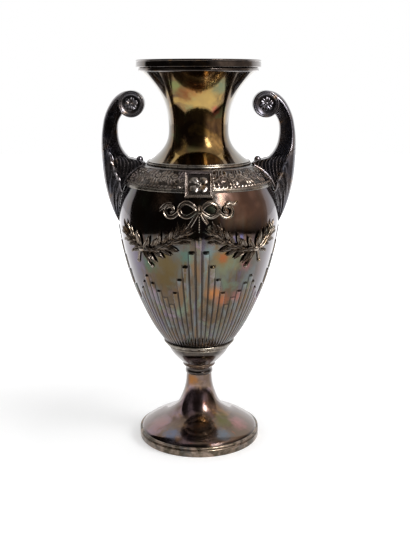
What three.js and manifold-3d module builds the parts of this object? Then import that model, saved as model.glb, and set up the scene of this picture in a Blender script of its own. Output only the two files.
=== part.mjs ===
// Two-handled plated vase: a bowl chased with tapering reeds, on a spun trumpet foot, under a
// friezed shoulder and a flared neck, with fluted scroll handles and applied laurel festoons.
// Millimetres, +Z up. The origin is the centre of the underside and the front faces -Y.

import * as THREE from 'three';
import { mergeVertices } from 'three/addons/utils/BufferGeometryUtils.js';
import Module from 'manifold-3d';

const wasm = await Module();
wasm.setup();

// Sheet and joints
const WALL = 1.2;
const SEAM = 0.3;

// Foot: a cast band under a spun trumpet
const BAND_RADIUS = 58.3;
const BAND_HEIGHT = 9.6;
const BAND_GROOVE_HEIGHT = 6.6;
const BAND_GROOVE_DEPTH = 1.2;
const BAND_GROOVE_WIDTH = 1.8;
const BAND_CHAMFER = 0.8;
const FOOT_RADIUS = 56.4;
const FOOT_SEAT = 3.4;
const FOOT_HEIGHT = 54.4;
const STEM_RADIUS = 12.1;

// Knop and flange between the foot and the bowl
const KNOP_HEIGHT = 6;
const KNOP_RADIUS = 13.4;
const KNOP_NECK = 0.9;
const KNOP_BEAD_SHARE = 0.62;
const FLANGE_HEIGHT = 5;
const FLANGE_RADIUS = 15.6;

// Plain cup under the reeds, its bead and the band that the reeds spring from
const CUP_HEIGHT = 17;
const CUP_FOOT_RADIUS = 16;
const CUP_RADIUS = 29.2;
const CUP_BEAD_HEIGHT = 2.4;
const CUP_BEAD_REACH = 0.9;
const SPRING_BAND_HEIGHT = 4.1;
const SPRING_BAND_EDGE = 1;

// Bowl and its reeds
const BOWL_HEIGHT = 150.1;
const BOWL_FOOT_RADIUS = 32.4;
const BOWL_RADIUS = 74.3;
const BOWL_TOP_RADIUS = 67.6;
const REED_COUNT = 72;
const REED_RELIEF = 1.3;
const REED_TALLEST = 0.748 * BOWL_HEIGHT;
const REED_STEP_DOWN = 0.086 * BOWL_HEIGHT;
const REED_STEP_UP = 0.0433 * BOWL_HEIGHT;
const REEDS_TO_VALLEY = 5;
const REED_FLAT_SHARE = 0.5;
const REED_TIP = 1.6;

// Fillet, shoulder and the bead under the neck
const FILLET_HEIGHT = 3;
const FILLET_REACH = 0.9;
const SHOULDER_HEIGHT = 15.4;
const SHOULDER_TOP_RADIUS = 50;
const NECK_BEAD_HEIGHT = 3.4;
const NECK_BEAD_RADIUS = 48.6;

// Neck and rim
const NECK_HEIGHT = 79;
const NECK_FOOT_RADIUS = 45.6;
const NECK_WAIST_RADIUS = 27.3;
const NECK_WAIST_HEIGHT = 29.6;
const NECK_LIP_RADIUS = 51.6;
const NECK_SEAT = 2.6;
const RIM_WIRE_HEIGHT = 3.9;
const RIM_WIRE_RADIUS = 54.7;
const RIM_HEIGHT = 6.7;
const RIM_RADIUS = 56.4;

// Centre bolt that draws the foot up to the bowl
const STUD_RADIUS = 3;
const STUD_CLEARANCE = 0.4;
const STUD_HEAD_RADIUS = 7.5;
const STUD_HEAD_HEIGHT = 2;
const STUD_PROTRUSION = 3;
const WASHER_RADIUS = 8;
const WASHER_HEIGHT = 1.2;
const NUT_RADIUS = 5.8;
const NUT_HEIGHT = 5;

// Handles: the width over both, their height, their depth, their volute and the leaf on their foot
const HANDLES_WIDTH = 180;
const HANDLE_RISE = 66.3;
const HANDLE_TAIL_DROP = 0.361 * BOWL_HEIGHT;
const HANDLE_DEPTH_AT_GRIP = 17.6;
const HANDLE_DEPTH_AT_FOOT = 26;
const HANDLE_FLUTES = 10;
const HANDLE_FLUTE_DEPTH = 0.15;
const VOLUTE_RADIUS = 11.9;
const VOLUTE_DEPTH = 18.8;
const VOLUTE_DISH = 1.8;
const VOLUTE_RIM = 2.3;
const LEAF_THICKNESS = 1.3;
const LEAF_TIP = 0.5;
const LEAF_SLOPE = 2.6;
const LEAF_VEIN = 0.35;
const LEAF_EDGE = 0.6;
const LEAF_START = 0.2;
const LEAF_ROW_LEAST = 0.06;
const LEAF_WRAP = 0.68;
const BALL_RADIUS = 3.4;
const BALL_GAP = 2.3;
const BALL_RISE = 0.6;
const ROSETTE_RADIUS = 7.6;
const ROSETTE_HEIGHT = 2.2;
const ROSETTE_PETALS = 6;

// Applied ornament on the shoulder and the bowl
const PLAQUE_WIDTH = 24;
const PLAQUE_THICKNESS = 1.7;
const PLAQUE_FRAME = 2.7;
const PLAQUE_BACK = 4.4;
const PLAQUE_LOW_STANDOFF = 4.4;
const PLAQUE_HIGH_STANDOFF = 8.5;
const PLAQUE_OVERHANG = 3.6;
const PLAQUE_RECESS = 1.2;
const PLAQUE_FLOOR = 0.5;
const FLOWER_RADIUS = 7.4;
const FLOWER_HEIGHT = 1.8;
const FLOWER_PETALS = 4;
const PETAL_NOTCH = 0.36;
const RIBBON_WIDTH = 1.9;
const KNOT_HEIGHT_ON_BOWL = 0.911 * BOWL_HEIGHT;
const STEM_THICKNESS = 1.7;
const LAUREL_LENGTH = 10.6;
const LAUREL_WIDTH = 3.6;
const LAUREL_SPREAD = 0.75;
const LAUREL_LIFT = 0.15;
const LAUREL_BELLY = 0.45;
const LAUREL_PAIRS = 6;
const LAUREL_RISE_PAIRS = 3;
const TIE_RADIUS = 2.6;

// Facets round each kind of turned piece
const ROUND_LARGE = 24;
const ROUND_STEM = 20;
const ROUND_SMALL = 16;
const ROUND_BOWL_INSIDE = 36;
const ROUND_GROUND = 48;

// Heights at which the pieces are stacked
const bandTop = BAND_HEIGHT;
const footTop = bandTop + FOOT_HEIGHT;
const knopTop = footTop + KNOP_HEIGHT;
const flangeTop = knopTop + FLANGE_HEIGHT;
const cupTop = flangeTop + CUP_HEIGHT;
const cupBeadTop = cupTop + CUP_BEAD_HEIGHT;
const springBandTop = cupBeadTop + SPRING_BAND_HEIGHT;
const bowlTop = springBandTop + BOWL_HEIGHT;
const filletTop = bowlTop + FILLET_HEIGHT;
const shoulderTop = filletTop + SHOULDER_HEIGHT;
const neckBeadTop = shoulderTop + NECK_BEAD_HEIGHT;
const neckTop = neckBeadTop + NECK_HEIGHT;
const rimWireTop = neckTop + RIM_WIRE_HEIGHT;
const studHole = STUD_RADIUS + STUD_CLEARANCE;

const finishes = {
  blackened: { color: 0x1d1815, roughness: 0.24, metalness: 1 },
  tarnished: { color: 0x6f6250, roughness: 0.3, metalness: 1 },
  olive: { color: 0x7c7a60, roughness: 0.32, metalness: 1 },
  grey: { color: 0x8f8b86, roughness: 0.34, metalness: 1 },
  brass: { color: 0xa8873f, roughness: 0.4, metalness: 1 },
};

const vase = new THREE.Group();

function addPiece(name, geometry, finish) {
  const mesh = new THREE.Mesh(geometry, new THREE.MeshStandardMaterial(finishes[finish]));
  mesh.name = name;
  vase.add(mesh);
  return mesh;
}

// Booleans

function toSolid(geometry) {
  const bare = geometry.clone();
  bare.deleteAttribute('normal');
  bare.deleteAttribute('uv');
  const merged = mergeVertices(bare, 1e-4);
  return new wasm.Manifold(new wasm.Mesh({
    numProp: 3,
    vertProperties: new Float32Array(merged.attributes.position.array),
    triVerts: new Uint32Array(merged.index.array),
  }));
}

function toGeometry(solid) {
  const mesh = solid.getMesh();
  const geometry = new THREE.BufferGeometry();
  geometry.setAttribute('position', new THREE.Float32BufferAttribute(mesh.vertProperties, 3));
  geometry.setIndex(new THREE.BufferAttribute(mesh.triVerts, 1));
  geometry.computeVertexNormals();
  return geometry;
}

// Outlines are lists of Vector2 (radius, height), read from the bottom up

const point = (radius, height) => new THREE.Vector2(radius, height);

function smoothOutline(points, steps) {
  return new THREE.SplineCurve(points).getPoints(steps);
}

function offsetOutline(outline, distance) {
  return outline.map((here, i) => {
    const before = outline[Math.max(i - 1, 0)];
    const after = outline[Math.min(i + 1, outline.length - 1)];
    const along = after.clone().sub(before).normalize();
    return point(here.x + along.y * distance, here.y - along.x * distance);
  });
}

function radiusAt(outline, height) {
  const i = Math.max(outline.findIndex((p) => p.y >= height), 1);
  const share = (height - outline[i - 1].y) / (outline[i].y - outline[i - 1].y);
  return THREE.MathUtils.lerp(outline[i - 1].x, outline[i].x, share);
}

function innerFace(outline) {
  return offsetOutline(outline, -WALL).slice(1, -1).reverse();
}

function turned(profile, segments) {
  const geometry = new THREE.LatheGeometry([...profile, profile[0]], segments);
  return geometry.rotateX(Math.PI / 2);
}

function turnedSolid(outline, segments) {
  const bottom = point(0, outline[0].y);
  const top = point(0, outline[outline.length - 1].y);
  const geometry = new THREE.LatheGeometry([bottom, ...outline, top], segments);
  return geometry.rotateX(Math.PI / 2);
}

// A half-round moulding from one height to another, standing out from an inner radius
function halfRound(outer, reach, bottom, top, facets) {
  const points = [];
  for (let i = 0; i <= facets; i += 1) {
    const angle = Math.PI * (i / facets - 0.5);
    const height = (bottom + top) / 2 + Math.sin(angle) * (top - bottom) / 2;
    points.push(point(outer - reach + Math.cos(angle) * reach, height));
  }
  return points;
}

// Foot: the band stands on the table and the trumpet is soldered to its top face

function footBand() {
  const inner = FOOT_RADIUS - FOOT_SEAT;
  const grooveLow = BAND_GROOVE_HEIGHT - BAND_GROOVE_WIDTH / 2;
  const grooveHigh = BAND_GROOVE_HEIGHT + BAND_GROOVE_WIDTH / 2;
  return turned([
    point(inner, 0),
    point(BAND_RADIUS - BAND_CHAMFER, 0),
    point(BAND_RADIUS, BAND_CHAMFER),
    point(BAND_RADIUS, grooveLow),
    point(BAND_RADIUS - BAND_GROOVE_DEPTH, BAND_GROOVE_HEIGHT),
    point(BAND_RADIUS, grooveHigh),
    point(BAND_RADIUS - BAND_CHAMFER, bandTop),
    point(inner, bandTop),
  ], ROUND_LARGE);
}

// Share of the foot's height, and share of the way out from the stem to its edge
const FOOT_SHAPE = [
  [0, 1], [0.05, 0.945], [0.12, 0.81], [0.19, 0.64], [0.265, 0.425],
  [0.41, 0.205], [0.6, 0.09], [0.8, 0.02], [1, 0],
];

function foot() {
  const outline = smoothOutline(FOOT_SHAPE.map(([up, out]) => (
    point(STEM_RADIUS + out * (FOOT_RADIUS - STEM_RADIUS), bandTop + up * FOOT_HEIGHT)
  )), 9);
  const stemInside = STEM_RADIUS - WALL;
  return turned([
    ...outline,
    point(studHole, footTop),
    point(studHole, footTop - WALL),
    point(stemInside, footTop - WALL),
    ...innerFace(outline).slice(1),
    point(FOOT_RADIUS - WALL, bandTop),
  ], ROUND_LARGE);
}

function knop() {
  const neck = STEM_RADIUS + KNOP_NECK;
  const beadTop = footTop + KNOP_HEIGHT * KNOP_BEAD_SHARE;
  return turned([
    point(studHole, footTop),
    ...halfRound(KNOP_RADIUS, KNOP_RADIUS - STEM_RADIUS, footTop, beadTop, 3),
    point(neck, knopTop),
    point(studHole, knopTop),
  ], ROUND_STEM);
}

function flange() {
  const edge = FLANGE_HEIGHT / 4;
  return turned([
    point(studHole, knopTop),
    point(STEM_RADIUS + KNOP_NECK, knopTop),
    point(FLANGE_RADIUS, flangeTop - 2 * edge),
    point(FLANGE_RADIUS, flangeTop - edge),
    point(CUP_FOOT_RADIUS - KNOP_NECK, flangeTop),
    point(studHole, flangeTop),
  ], ROUND_STEM);
}

// Cup: its floor takes the head of the centre bolt

const CUP_SHAPE = [[0, 0], [0.28, 0.36], [0.52, 0.63], [0.76, 0.86], [1, 1]];

function cup() {
  const outline = smoothOutline(CUP_SHAPE.map(([up, out]) => (
    point(CUP_FOOT_RADIUS + out * (CUP_RADIUS - CUP_FOOT_RADIUS), flangeTop + up * CUP_HEIGHT)
  )), 4);
  const inside = innerFace(outline).filter((p) => p.y > flangeTop + WALL);
  return turned([
    ...outline,
    point(CUP_RADIUS - WALL, cupTop),
    ...inside,
    point(CUP_FOOT_RADIUS - WALL, flangeTop + WALL),
    point(studHole, flangeTop + WALL),
    point(studHole, flangeTop),
  ], ROUND_LARGE);
}

function cupBead() {
  return turned([
    point(CUP_RADIUS - WALL, cupTop),
    ...halfRound(CUP_RADIUS + CUP_BEAD_REACH, CUP_BEAD_REACH, cupTop, cupBeadTop, 3),
    point(CUP_RADIUS - WALL, cupBeadTop),
  ], ROUND_LARGE);
}

function springBand() {
  const outer = BOWL_FOOT_RADIUS + REED_RELIEF + SEAM;
  return turned([
    point(CUP_RADIUS - WALL, cupBeadTop),
    point(outer - 2 * SPRING_BAND_EDGE, cupBeadTop),
    point(outer, cupBeadTop + SPRING_BAND_EDGE),
    point(outer, springBandTop),
    point(CUP_RADIUS - WALL, springBandTop),
  ], ROUND_LARGE);
}

// Bowl: share of its height, then share of the way from the foot radius to the widest radius,
// and above the widest place share of the way from the widest radius to the top one

const BOWL_LOWER = [
  [0, 0], [0.117, 0.27], [0.256, 0.51], [0.396, 0.706], [0.543, 0.854], [0.683, 0.957], [0.795, 1],
];
const BOWL_UPPER = [[0.91, 0.3], [1, 1]];

const bowlOutline = smoothOutline([
  ...BOWL_LOWER.map(([up, out]) => (
    point(BOWL_FOOT_RADIUS + out * (BOWL_RADIUS - BOWL_FOOT_RADIUS), springBandTop + up * BOWL_HEIGHT)
  )),
  ...BOWL_UPPER.map(([up, back]) => (
    point(BOWL_RADIUS - back * (BOWL_RADIUS - BOWL_TOP_RADIUS), springBandTop + up * BOWL_HEIGHT)
  )),
], 60);

const PLAIN_WALL_CLEARANCE = 0.02 * BOWL_HEIGHT;
const plainWallStart = springBandTop + REED_TALLEST + PLAIN_WALL_CLEARANCE;

// Reeds stand in four equal groups: each falls from a tall reed to a valley and climbs again
// to a short one half way to the next tall reed
function reedTop(n) {
  const group = REED_COUNT / 4;
  const fromTall = Math.min(n % group, group - (n % group));
  const down = Math.min(fromTall, REEDS_TO_VALLEY) * REED_STEP_DOWN;
  const up = Math.max(fromTall - REEDS_TO_VALLEY, 0) * REED_STEP_UP;
  return springBandTop + REED_TALLEST - down + up;
}

// A place on the bowl or above it: azimuth in degrees from the front, towards +X
function around(azimuth, radius, height) {
  const angle = THREE.MathUtils.degToRad(azimuth);
  return new THREE.Vector3(radius * Math.sin(angle), -radius * Math.cos(angle), height);
}

class Skin {
  constructor() {
    this.vertices = [];
    this.faces = [];
  }

  line(points, places) {
    return points.map((p, i) => {
      this.vertices.push(p.x, p.y, p.z);
      return { index: this.vertices.length / 3 - 1, place: places[i] };
    });
  }

  // Triangles between two lines of vertices, whichever has more of them
  stitch(left, right) {
    let i = 0;
    let j = 0;
    while (i < left.length - 1 || j < right.length - 1) {
      const canLeft = i < left.length - 1;
      const canRight = j < right.length - 1;
      const nextLeft = canLeft ? left[i + 1].place : Infinity;
      const nextRight = canRight ? right[j + 1].place : Infinity;
      if (nextLeft <= nextRight) {
        this.faces.push(left[i].index, right[j].index, left[i + 1].index);
        i += 1;
      } else {
        this.faces.push(left[i].index, right[j].index, right[j + 1].index);
        j += 1;
      }
    }
  }

  // A closed ring is stitched with its first vertex repeated a full turn on
  stitchRings(lower, upper) {
    const wrap = (ring) => [...ring, { index: ring[0].index, place: ring[0].place + 360 }];
    this.stitch(wrap(upper), wrap(lower));
  }

  geometry() {
    const geometry = new THREE.BufferGeometry();
    geometry.setAttribute('position', new THREE.Float32BufferAttribute(this.vertices, 3));
    geometry.setIndex(this.faces);
    geometry.computeVertexNormals();
    return geometry;
  }
}

function bowl() {
  const skin = new Skin();
  const pitch = 360 / REED_COUNT;
  const rows = 5;
  const commonHeights = Array.from({ length: rows + 1 }, (_, i) => (
    THREE.MathUtils.lerp(springBandTop, plainWallStart, i / rows)
  ));
  const wallPoint = (azimuth, height, relief) => (
    around(azimuth, radiusAt(bowlOutline, height) + relief, height)
  );
  const column = (azimuth, heights, reliefs) => skin.line(
    heights.map((height, i) => wallPoint(azimuth, height, reliefs[i])),
    heights,
  );

  const grooves = [];
  const flanks = [];
  for (let n = 0; n < REED_COUNT; n += 1) {
    const middle = n * pitch;
    const top = reedTop(n);
    const spacing = (top - springBandTop) / rows;
    const onReed = commonHeights.filter((h) => h < top - REED_TIP - spacing / 4);
    const above = commonHeights.filter((h) => h > top + spacing / 4);
    const heights = [...onReed, top - REED_TIP, top, ...above];
    const reliefs = heights.map((h) => (h < top ? REED_RELIEF : 0));
    const half = pitch * REED_FLAT_SHARE / 2;
    grooves.push(column(middle - pitch / 2, commonHeights, commonHeights.map(() => 0)));
    flanks.push([
      column(middle - half, heights, reliefs),
      column(middle + half, heights, reliefs),
    ]);
  }
  for (let n = 0; n < REED_COUNT; n += 1) {
    const [left, right] = flanks[n];
    skin.stitch(grooves[n], left);
    skin.stitch(left, right);
    skin.stitch(right, grooves[(n + 1) % REED_COUNT]);
  }

  const columns = grooves.flatMap((groove, n) => [groove, ...flanks[n]]);
  const azimuths = grooves.flatMap((_, n) => (
    [-0.5, -REED_FLAT_SHARE / 2, REED_FLAT_SHARE / 2].map((share) => (n + share) * pitch)
  ));
  const ringOf = (pick) => columns.map((line, i) => ({ index: pick(line).index, place: azimuths[i] }));
  const reedFoot = ringOf((line) => line[0]);
  let ring = ringOf((line) => line[line.length - 1]);

  const ringAt = (radius, height, count) => {
    const places = Array.from({ length: count }, (_, i) => -pitch / 2 + i * 360 / count);
    return skin.line(places.map((azimuth) => around(azimuth, radius, height)), places);
  };
  const upperRows = 2;
  for (let i = 1; i <= upperRows; i += 1) {
    const height = THREE.MathUtils.lerp(plainWallStart, bowlTop, i / upperRows);
    const next = ringAt(radiusAt(bowlOutline, height), height, REED_COUNT);
    skin.stitchRings(ring, next);
    ring = next;
  }

  const insideRows = 5;
  for (let i = insideRows; i >= 0; i -= 1) {
    const height = THREE.MathUtils.lerp(springBandTop, bowlTop, i / insideRows);
    const next = ringAt(radiusAt(bowlOutline, height) - WALL, height, ROUND_BOWL_INSIDE);
    skin.stitchRings(ring, next);
    ring = next;
  }
  skin.stitchRings(ring, reedFoot);
  return skin.geometry();
}

// Shoulder: a fillet, a friezed dome and the bead that covers the seam under the neck

const SHOULDER_SHAPE = [[0, 1], [0.3, 0.8], [0.6, 0.5], [0.87, 0.2], [1, 0]];

const shoulderOutline = smoothOutline(SHOULDER_SHAPE.map(([up, out]) => (
  point(SHOULDER_TOP_RADIUS + out * (BOWL_TOP_RADIUS - SHOULDER_TOP_RADIUS), filletTop + up * SHOULDER_HEIGHT)
)), 6);

const filletFace = halfRound(BOWL_TOP_RADIUS + FILLET_REACH, FILLET_REACH, bowlTop, filletTop, 3);

const neckBeadFace = halfRound(NECK_BEAD_RADIUS, NECK_BEAD_HEIGHT / 2, shoulderTop, neckBeadTop, 3);

function fillet() {
  return turned([
    point(BOWL_TOP_RADIUS - WALL, bowlTop),
    ...filletFace,
    point(BOWL_TOP_RADIUS - WALL, filletTop),
  ], ROUND_LARGE);
}

function shoulder() {
  const ledge = NECK_FOOT_RADIUS - NECK_SEAT;
  return turned([
    ...shoulderOutline,
    point(ledge, shoulderTop),
    point(ledge, shoulderTop - WALL),
    point(SHOULDER_TOP_RADIUS - WALL, shoulderTop - WALL),
    ...innerFace(shoulderOutline).slice(1),
    point(BOWL_TOP_RADIUS - WALL, filletTop),
  ], ROUND_LARGE);
}

function neckBead() {
  const inner = NECK_FOOT_RADIUS - NECK_SEAT;
  return turned([
    point(inner, shoulderTop),
    ...neckBeadFace,
    point(inner, neckBeadTop),
  ], ROUND_LARGE);
}

// Neck: a waisted trumpet, steeper towards the bowl than towards the lip

const NECK_LOWER_POWER = 2.6;
const NECK_UPPER_POWER = 2.35;

function neckRadius(height) {
  const above = height - NECK_WAIST_HEIGHT;
  if (above < 0) {
    const flare = (-above / NECK_WAIST_HEIGHT) ** NECK_LOWER_POWER;
    return NECK_WAIST_RADIUS + (NECK_FOOT_RADIUS - NECK_WAIST_RADIUS) * flare;
  }
  const flare = (above / (NECK_HEIGHT - NECK_WAIST_HEIGHT)) ** NECK_UPPER_POWER;
  return NECK_WAIST_RADIUS + (NECK_LIP_RADIUS - NECK_WAIST_RADIUS) * flare;
}

function neck() {
  const shares = [0, 0.07, 0.17, 0.37, 0.57, 0.75, 0.89, 1];
  const outline = shares.map((share) => (
    point(neckRadius(share * NECK_HEIGHT), neckBeadTop + share * NECK_HEIGHT)
  ));
  return turned([
    ...outline,
    point(NECK_LIP_RADIUS - WALL, neckTop),
    ...innerFace(outline),
    point(NECK_FOOT_RADIUS - NECK_SEAT, neckBeadTop),
  ], ROUND_LARGE);
}

function rimWire() {
  const inner = NECK_LIP_RADIUS - WALL;
  return turned([
    point(inner, neckTop),
    ...halfRound(RIM_WIRE_RADIUS, RIM_WIRE_HEIGHT / 2, neckTop, rimWireTop, 3),
    point(inner, rimWireTop),
  ], ROUND_LARGE);
}

function rim() {
  const inner = NECK_LIP_RADIUS - WALL;
  const roll = RIM_HEIGHT / 4;
  const top = rimWireTop + RIM_HEIGHT;
  return turned([
    point(inner, rimWireTop),
    point(RIM_RADIUS - roll, rimWireTop),
    point(RIM_RADIUS, rimWireTop + roll),
    point(RIM_RADIUS, top - roll),
    point(RIM_RADIUS - roll, top),
    point(inner + roll, top),
    point(inner, top - roll),
  ], ROUND_LARGE);
}

// Centre bolt

function stud() {
  const seat = flangeTop + WALL;
  const end = footTop - WALL - WASHER_HEIGHT - NUT_HEIGHT - STUD_PROTRUSION;
  return turnedSolid([
    point(STUD_RADIUS, end),
    point(STUD_RADIUS, seat),
    point(STUD_HEAD_RADIUS, seat),
    point(STUD_HEAD_RADIUS, seat + STUD_HEAD_HEIGHT),
  ], ROUND_SMALL);
}

function washer() {
  const top = footTop - WALL;
  return turned([
    point(studHole, top - WASHER_HEIGHT),
    point(WASHER_RADIUS, top - WASHER_HEIGHT),
    point(WASHER_RADIUS, top),
    point(studHole, top),
  ], ROUND_SMALL);
}

function nut() {
  const shape = new THREE.Shape();
  for (let i = 0; i < 6; i += 1) {
    const angle = i * Math.PI / 3;
    const corner = [NUT_RADIUS * Math.cos(angle), NUT_RADIUS * Math.sin(angle)];
    if (i === 0) shape.moveTo(...corner);
    else shape.lineTo(...corner);
  }
  shape.closePath();
  const hole = new THREE.Path();
  hole.absarc(0, 0, studHole, 0, Math.PI * 2);
  shape.holes.push(hole);
  const options = { depth: NUT_HEIGHT, bevelEnabled: false, curveSegments: 8 };
  const bottom = footTop - WALL - WASHER_HEIGHT - NUT_HEIGHT;
  return new THREE.ExtrudeGeometry(shape, options).translate(0, 0, bottom);
}

// The wall that applied pieces are fitted to, one seam's width outside the real one
const plainWall = bowlOutline.filter((p) => p.y > plainWallStart - 2 * PLAIN_WALL_CLEARANCE && p.y < bowlTop);
const ornamentGround = toSolid(turnedSolid(offsetOutline([
  ...plainWall.filter((_, i) => i % 3 === 0),
  ...filletFace,
  ...shoulderOutline.slice(1),
  ...neckBeadFace,
  point(NECK_FOOT_RADIUS, neckBeadTop),
  point(neckRadius(NECK_WAIST_HEIGHT / 3), neckBeadTop + NECK_WAIST_HEIGHT / 3),
], SEAM), ROUND_GROUND));

// Handles: sections between an outer and an inner edge, swept from the tail that lies on the bowl,
// over the foot that is soldered to the shoulder, up the grip and over into the volute.
// Each row: place and height of the outer edge, the same of the inner edge, depth. Places are
// shares of the way out to the handle's reach, heights are shares of its rise over the top of the
// shoulder, or of its drop below that.

const handleReach = HANDLES_WIDTH / 2;
const grip = HANDLE_DEPTH_AT_GRIP;
const base = HANDLE_DEPTH_AT_FOOT;

// Measured from the widest radius of the bowl, whose wall the tail follows
const TAIL_SECTIONS = [
  [0.032, -1, -0.115, -1.007, base * 0.16],
  [0.312, -0.83, -0.338, -0.849, base * 0.42],
  [0.618, -0.572, -0.656, -0.627, base * 0.68],
  [0.847, -0.314, -1.038, -0.387, base * 0.88],
];

// Measured from the bead under the neck, which the toe touches
const GRIP_SECTIONS = [
  [0.986, -0.055, 0.022, -0.083, base],
  [1, 0.121, 0.043, 0.036, base * 0.98],
  [1, 0.241, 0.362, 0.09, base * 0.86],
  [0.988, 0.347, 0.541, 0.226, grip * 1.12],
  [0.961, 0.468, 0.609, 0.392, grip * 1.02],
  [0.908, 0.626, 0.599, 0.551, grip],
  [0.821, 0.762, 0.527, 0.656, grip],
  [0.686, 0.89, 0.42, 0.732, grip],
  [0.502, 0.974, 0.348, 0.777, grip],
  [0.309, 1, 0.275, 0.822, grip * 0.9],
];

const VOLUTE_CENTRE = [0.3, 0.817];
const LEAF_END = 6;

function handlePlace(anchor, out, up) {
  const height = up * (up > 0 ? HANDLE_RISE : HANDLE_TAIL_DROP);
  return point(THREE.MathUtils.lerp(anchor, handleReach, out), shoulderTop + height);
}

const sectionsFrom = (anchor, rows) => rows.map(([out, up, inn, innUp, depth]) => ({
  outer: handlePlace(anchor, out, up),
  inner: handlePlace(anchor, inn, innUp),
  depth,
}));
const handleSections = [
  ...sectionsFrom(BOWL_RADIUS, TAIL_SECTIONS),
  ...sectionsFrom(NECK_BEAD_RADIUS, GRIP_SECTIONS),
];
const outerEdge = new THREE.SplineCurve(handleSections.map((section) => section.outer));
const innerEdge = new THREE.SplineCurve(handleSections.map((section) => section.inner));
const depths = new THREE.SplineCurve(handleSections.map((section, i) => point(section.depth / 2, i)));

// A point of the handle's surface at a section (in rows of the list) and an angle round it
function handlePoint(section, angle, inset, fluteDepth) {
  const t = section / (handleSections.length - 1);
  const out = outerEdge.getPoint(t);
  const inn = innerEdge.getPoint(t);
  const middle = out.clone().add(inn).multiplyScalar(0.5);
  const across = out.clone().sub(inn);
  const half = Math.max(across.length() / 2 - inset, 0.2);
  across.normalize();
  const depth = Math.max(depths.getPoint(t).x - inset, 0.2);
  const flute = 1 - fluteDepth * (0.5 - 0.5 * Math.cos(angle * HANDLE_FLUTES));
  const along = Math.cos(angle) * half * flute;
  return new THREE.Vector3(
    middle.x + across.x * along,
    Math.sin(angle) * depth * flute,
    middle.y + across.y * along,
  );
}

// A closed skin through rings of equal count, with a fan at each end
function loft(rings) {
  const skin = new Skin();
  const places = rings[0].map((_, i) => i * 360 / rings[0].length);
  const lines = rings.map((ring) => skin.line(ring, places));
  lines.slice(1).forEach((line, i) => skin.stitchRings(lines[i], line));
  const cap = (line, flip) => {
    for (let i = 1; i < line.length - 1; i += 1) {
      const rest = flip ? [line[i + 1].index, line[i].index] : [line[i].index, line[i + 1].index];
      skin.faces.push(line[0].index, ...rest);
    }
  };
  cap(lines[0], true);
  cap(lines[lines.length - 1], false);
  return skin.geometry();
}

const volute = handlePlace(NECK_BEAD_RADIUS, ...VOLUTE_CENTRE);
const ballPlace = new THREE.Vector3(NECK_BEAD_RADIUS + BALL_GAP + BALL_RADIUS, 0, neckBeadTop + BALL_RISE);

function handleBody() {
  const count = HANDLE_FLUTES * 2;
  const rings = handleSections.map((_, section) => {
    const underLeaf = section > LEAF_END ? 0 : 1;
    const inset = (LEAF_THICKNESS + 2 * SEAM) * underLeaf;
    const flutes = HANDLE_FLUTE_DEPTH * THREE.MathUtils.smoothstep(section, 2, 5);
    return Array.from({ length: count }, (_, i) => (
      handlePoint(section, i * Math.PI * 2 / count, inset, flutes)
    ));
  });
  return loft(rings);
}

// A solid turned about the axis of the volute; outline heights run from front to back
function aboutVolute(outline) {
  const bottom = point(0, outline[0].y);
  const top = point(0, outline[outline.length - 1].y);
  const geometry = new THREE.LatheGeometry([bottom, ...outline, top], ROUND_SMALL);
  return toSolid(geometry.translate(volute.x, 0, volute.y));
}

function handle() {
  const face = VOLUTE_DEPTH / 2;
  const floor = face - VOLUTE_DISH;
  const dish = VOLUTE_RADIUS - VOLUTE_RIM;
  const drum = aboutVolute([
    point(VOLUTE_RADIUS - VOLUTE_RIM / 2, -face),
    point(VOLUTE_RADIUS, -face + VOLUTE_RIM / 2),
    point(VOLUTE_RADIUS, face - VOLUTE_RIM / 2),
    point(VOLUTE_RADIUS - VOLUTE_RIM / 2, face),
  ]);
  const mouth = dish + VOLUTE_DISH;
  const bottom = dish - VOLUTE_DISH / 2;
  const frontDish = aboutVolute([point(mouth, -face - VOLUTE_DISH), point(bottom, -floor)]);
  const backDish = aboutVolute([point(bottom, floor), point(mouth, face + VOLUTE_DISH)]);
  const clearance = new THREE.SphereGeometry(BALL_RADIUS + SEAM, 10, 6).translate(...ballPlace.toArray());
  return toSolid(handleBody())
    .add(drum)
    .subtract(frontDish)
    .subtract(backDish)
    .subtract(ornamentGround)
    .subtract(toSolid(clearance));
}

// Acanthus leaf: a shell over the outer side of the handle's foot, with a tip on each face
function leaf() {
  const columns = 10;
  const reach = Math.PI * LEAF_WRAP;
  const rows = 6;
  const rings = [];
  for (let j = 0; j <= columns; j += 1) {
    const angle = reach * (1 - 2 * j / columns);
    const side = Math.abs(angle) / reach;
    const top = LEAF_END - LEAF_TIP + LEAF_TIP * Math.sin(side * Math.PI) - LEAF_SLOPE * side ** 3;
    const section = (i) => Math.min(i + LEAF_START, top - (rows - i) * LEAF_ROW_LEAST);
    const vein = j % 2 === 0 ? 0 : LEAF_VEIN;
    const lobe = (i) => LEAF_THICKNESS * Math.max(vein * Math.min(i, 1), i === rows ? LEAF_EDGE : 0);
    const outside = Array.from({ length: rows + 1 }, (_, i) => handlePoint(section(i), angle, lobe(i), 0));
    const inside = Array.from({ length: rows + 1 }, (_, i) => (
      handlePoint(section(rows - i), angle, LEAF_THICKNESS - SEAM, 0)
    ));
    rings.push([...outside, ...inside]);
  }
  return toSolid(loft(rings)).subtract(ornamentGround);
}

// A petalled flower domed towards +Z, its back at z = 0. Each row: share of the radius, share of
// the height, share of the notch between two petals.
const PETAL_ROWS = [[1, 0, 1], [1, 0.3, 1], [0.7, 0.8, 0.8], [0.3, 0.5, 0], [0.2, 1, 0]];

function petalled(radius, height, petals, facets) {
  const count = petals * facets;
  return loft(PETAL_ROWS.map(([out, up, notch]) => Array.from({ length: count }, (_, i) => {
    const angle = i * Math.PI * 2 / count;
    const reach = radius * out * (i % facets === 0 ? 1 - notch * PETAL_NOTCH : 1);
    return new THREE.Vector3(Math.cos(angle) * reach, Math.sin(angle) * reach, height * up);
  })));
}

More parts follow.
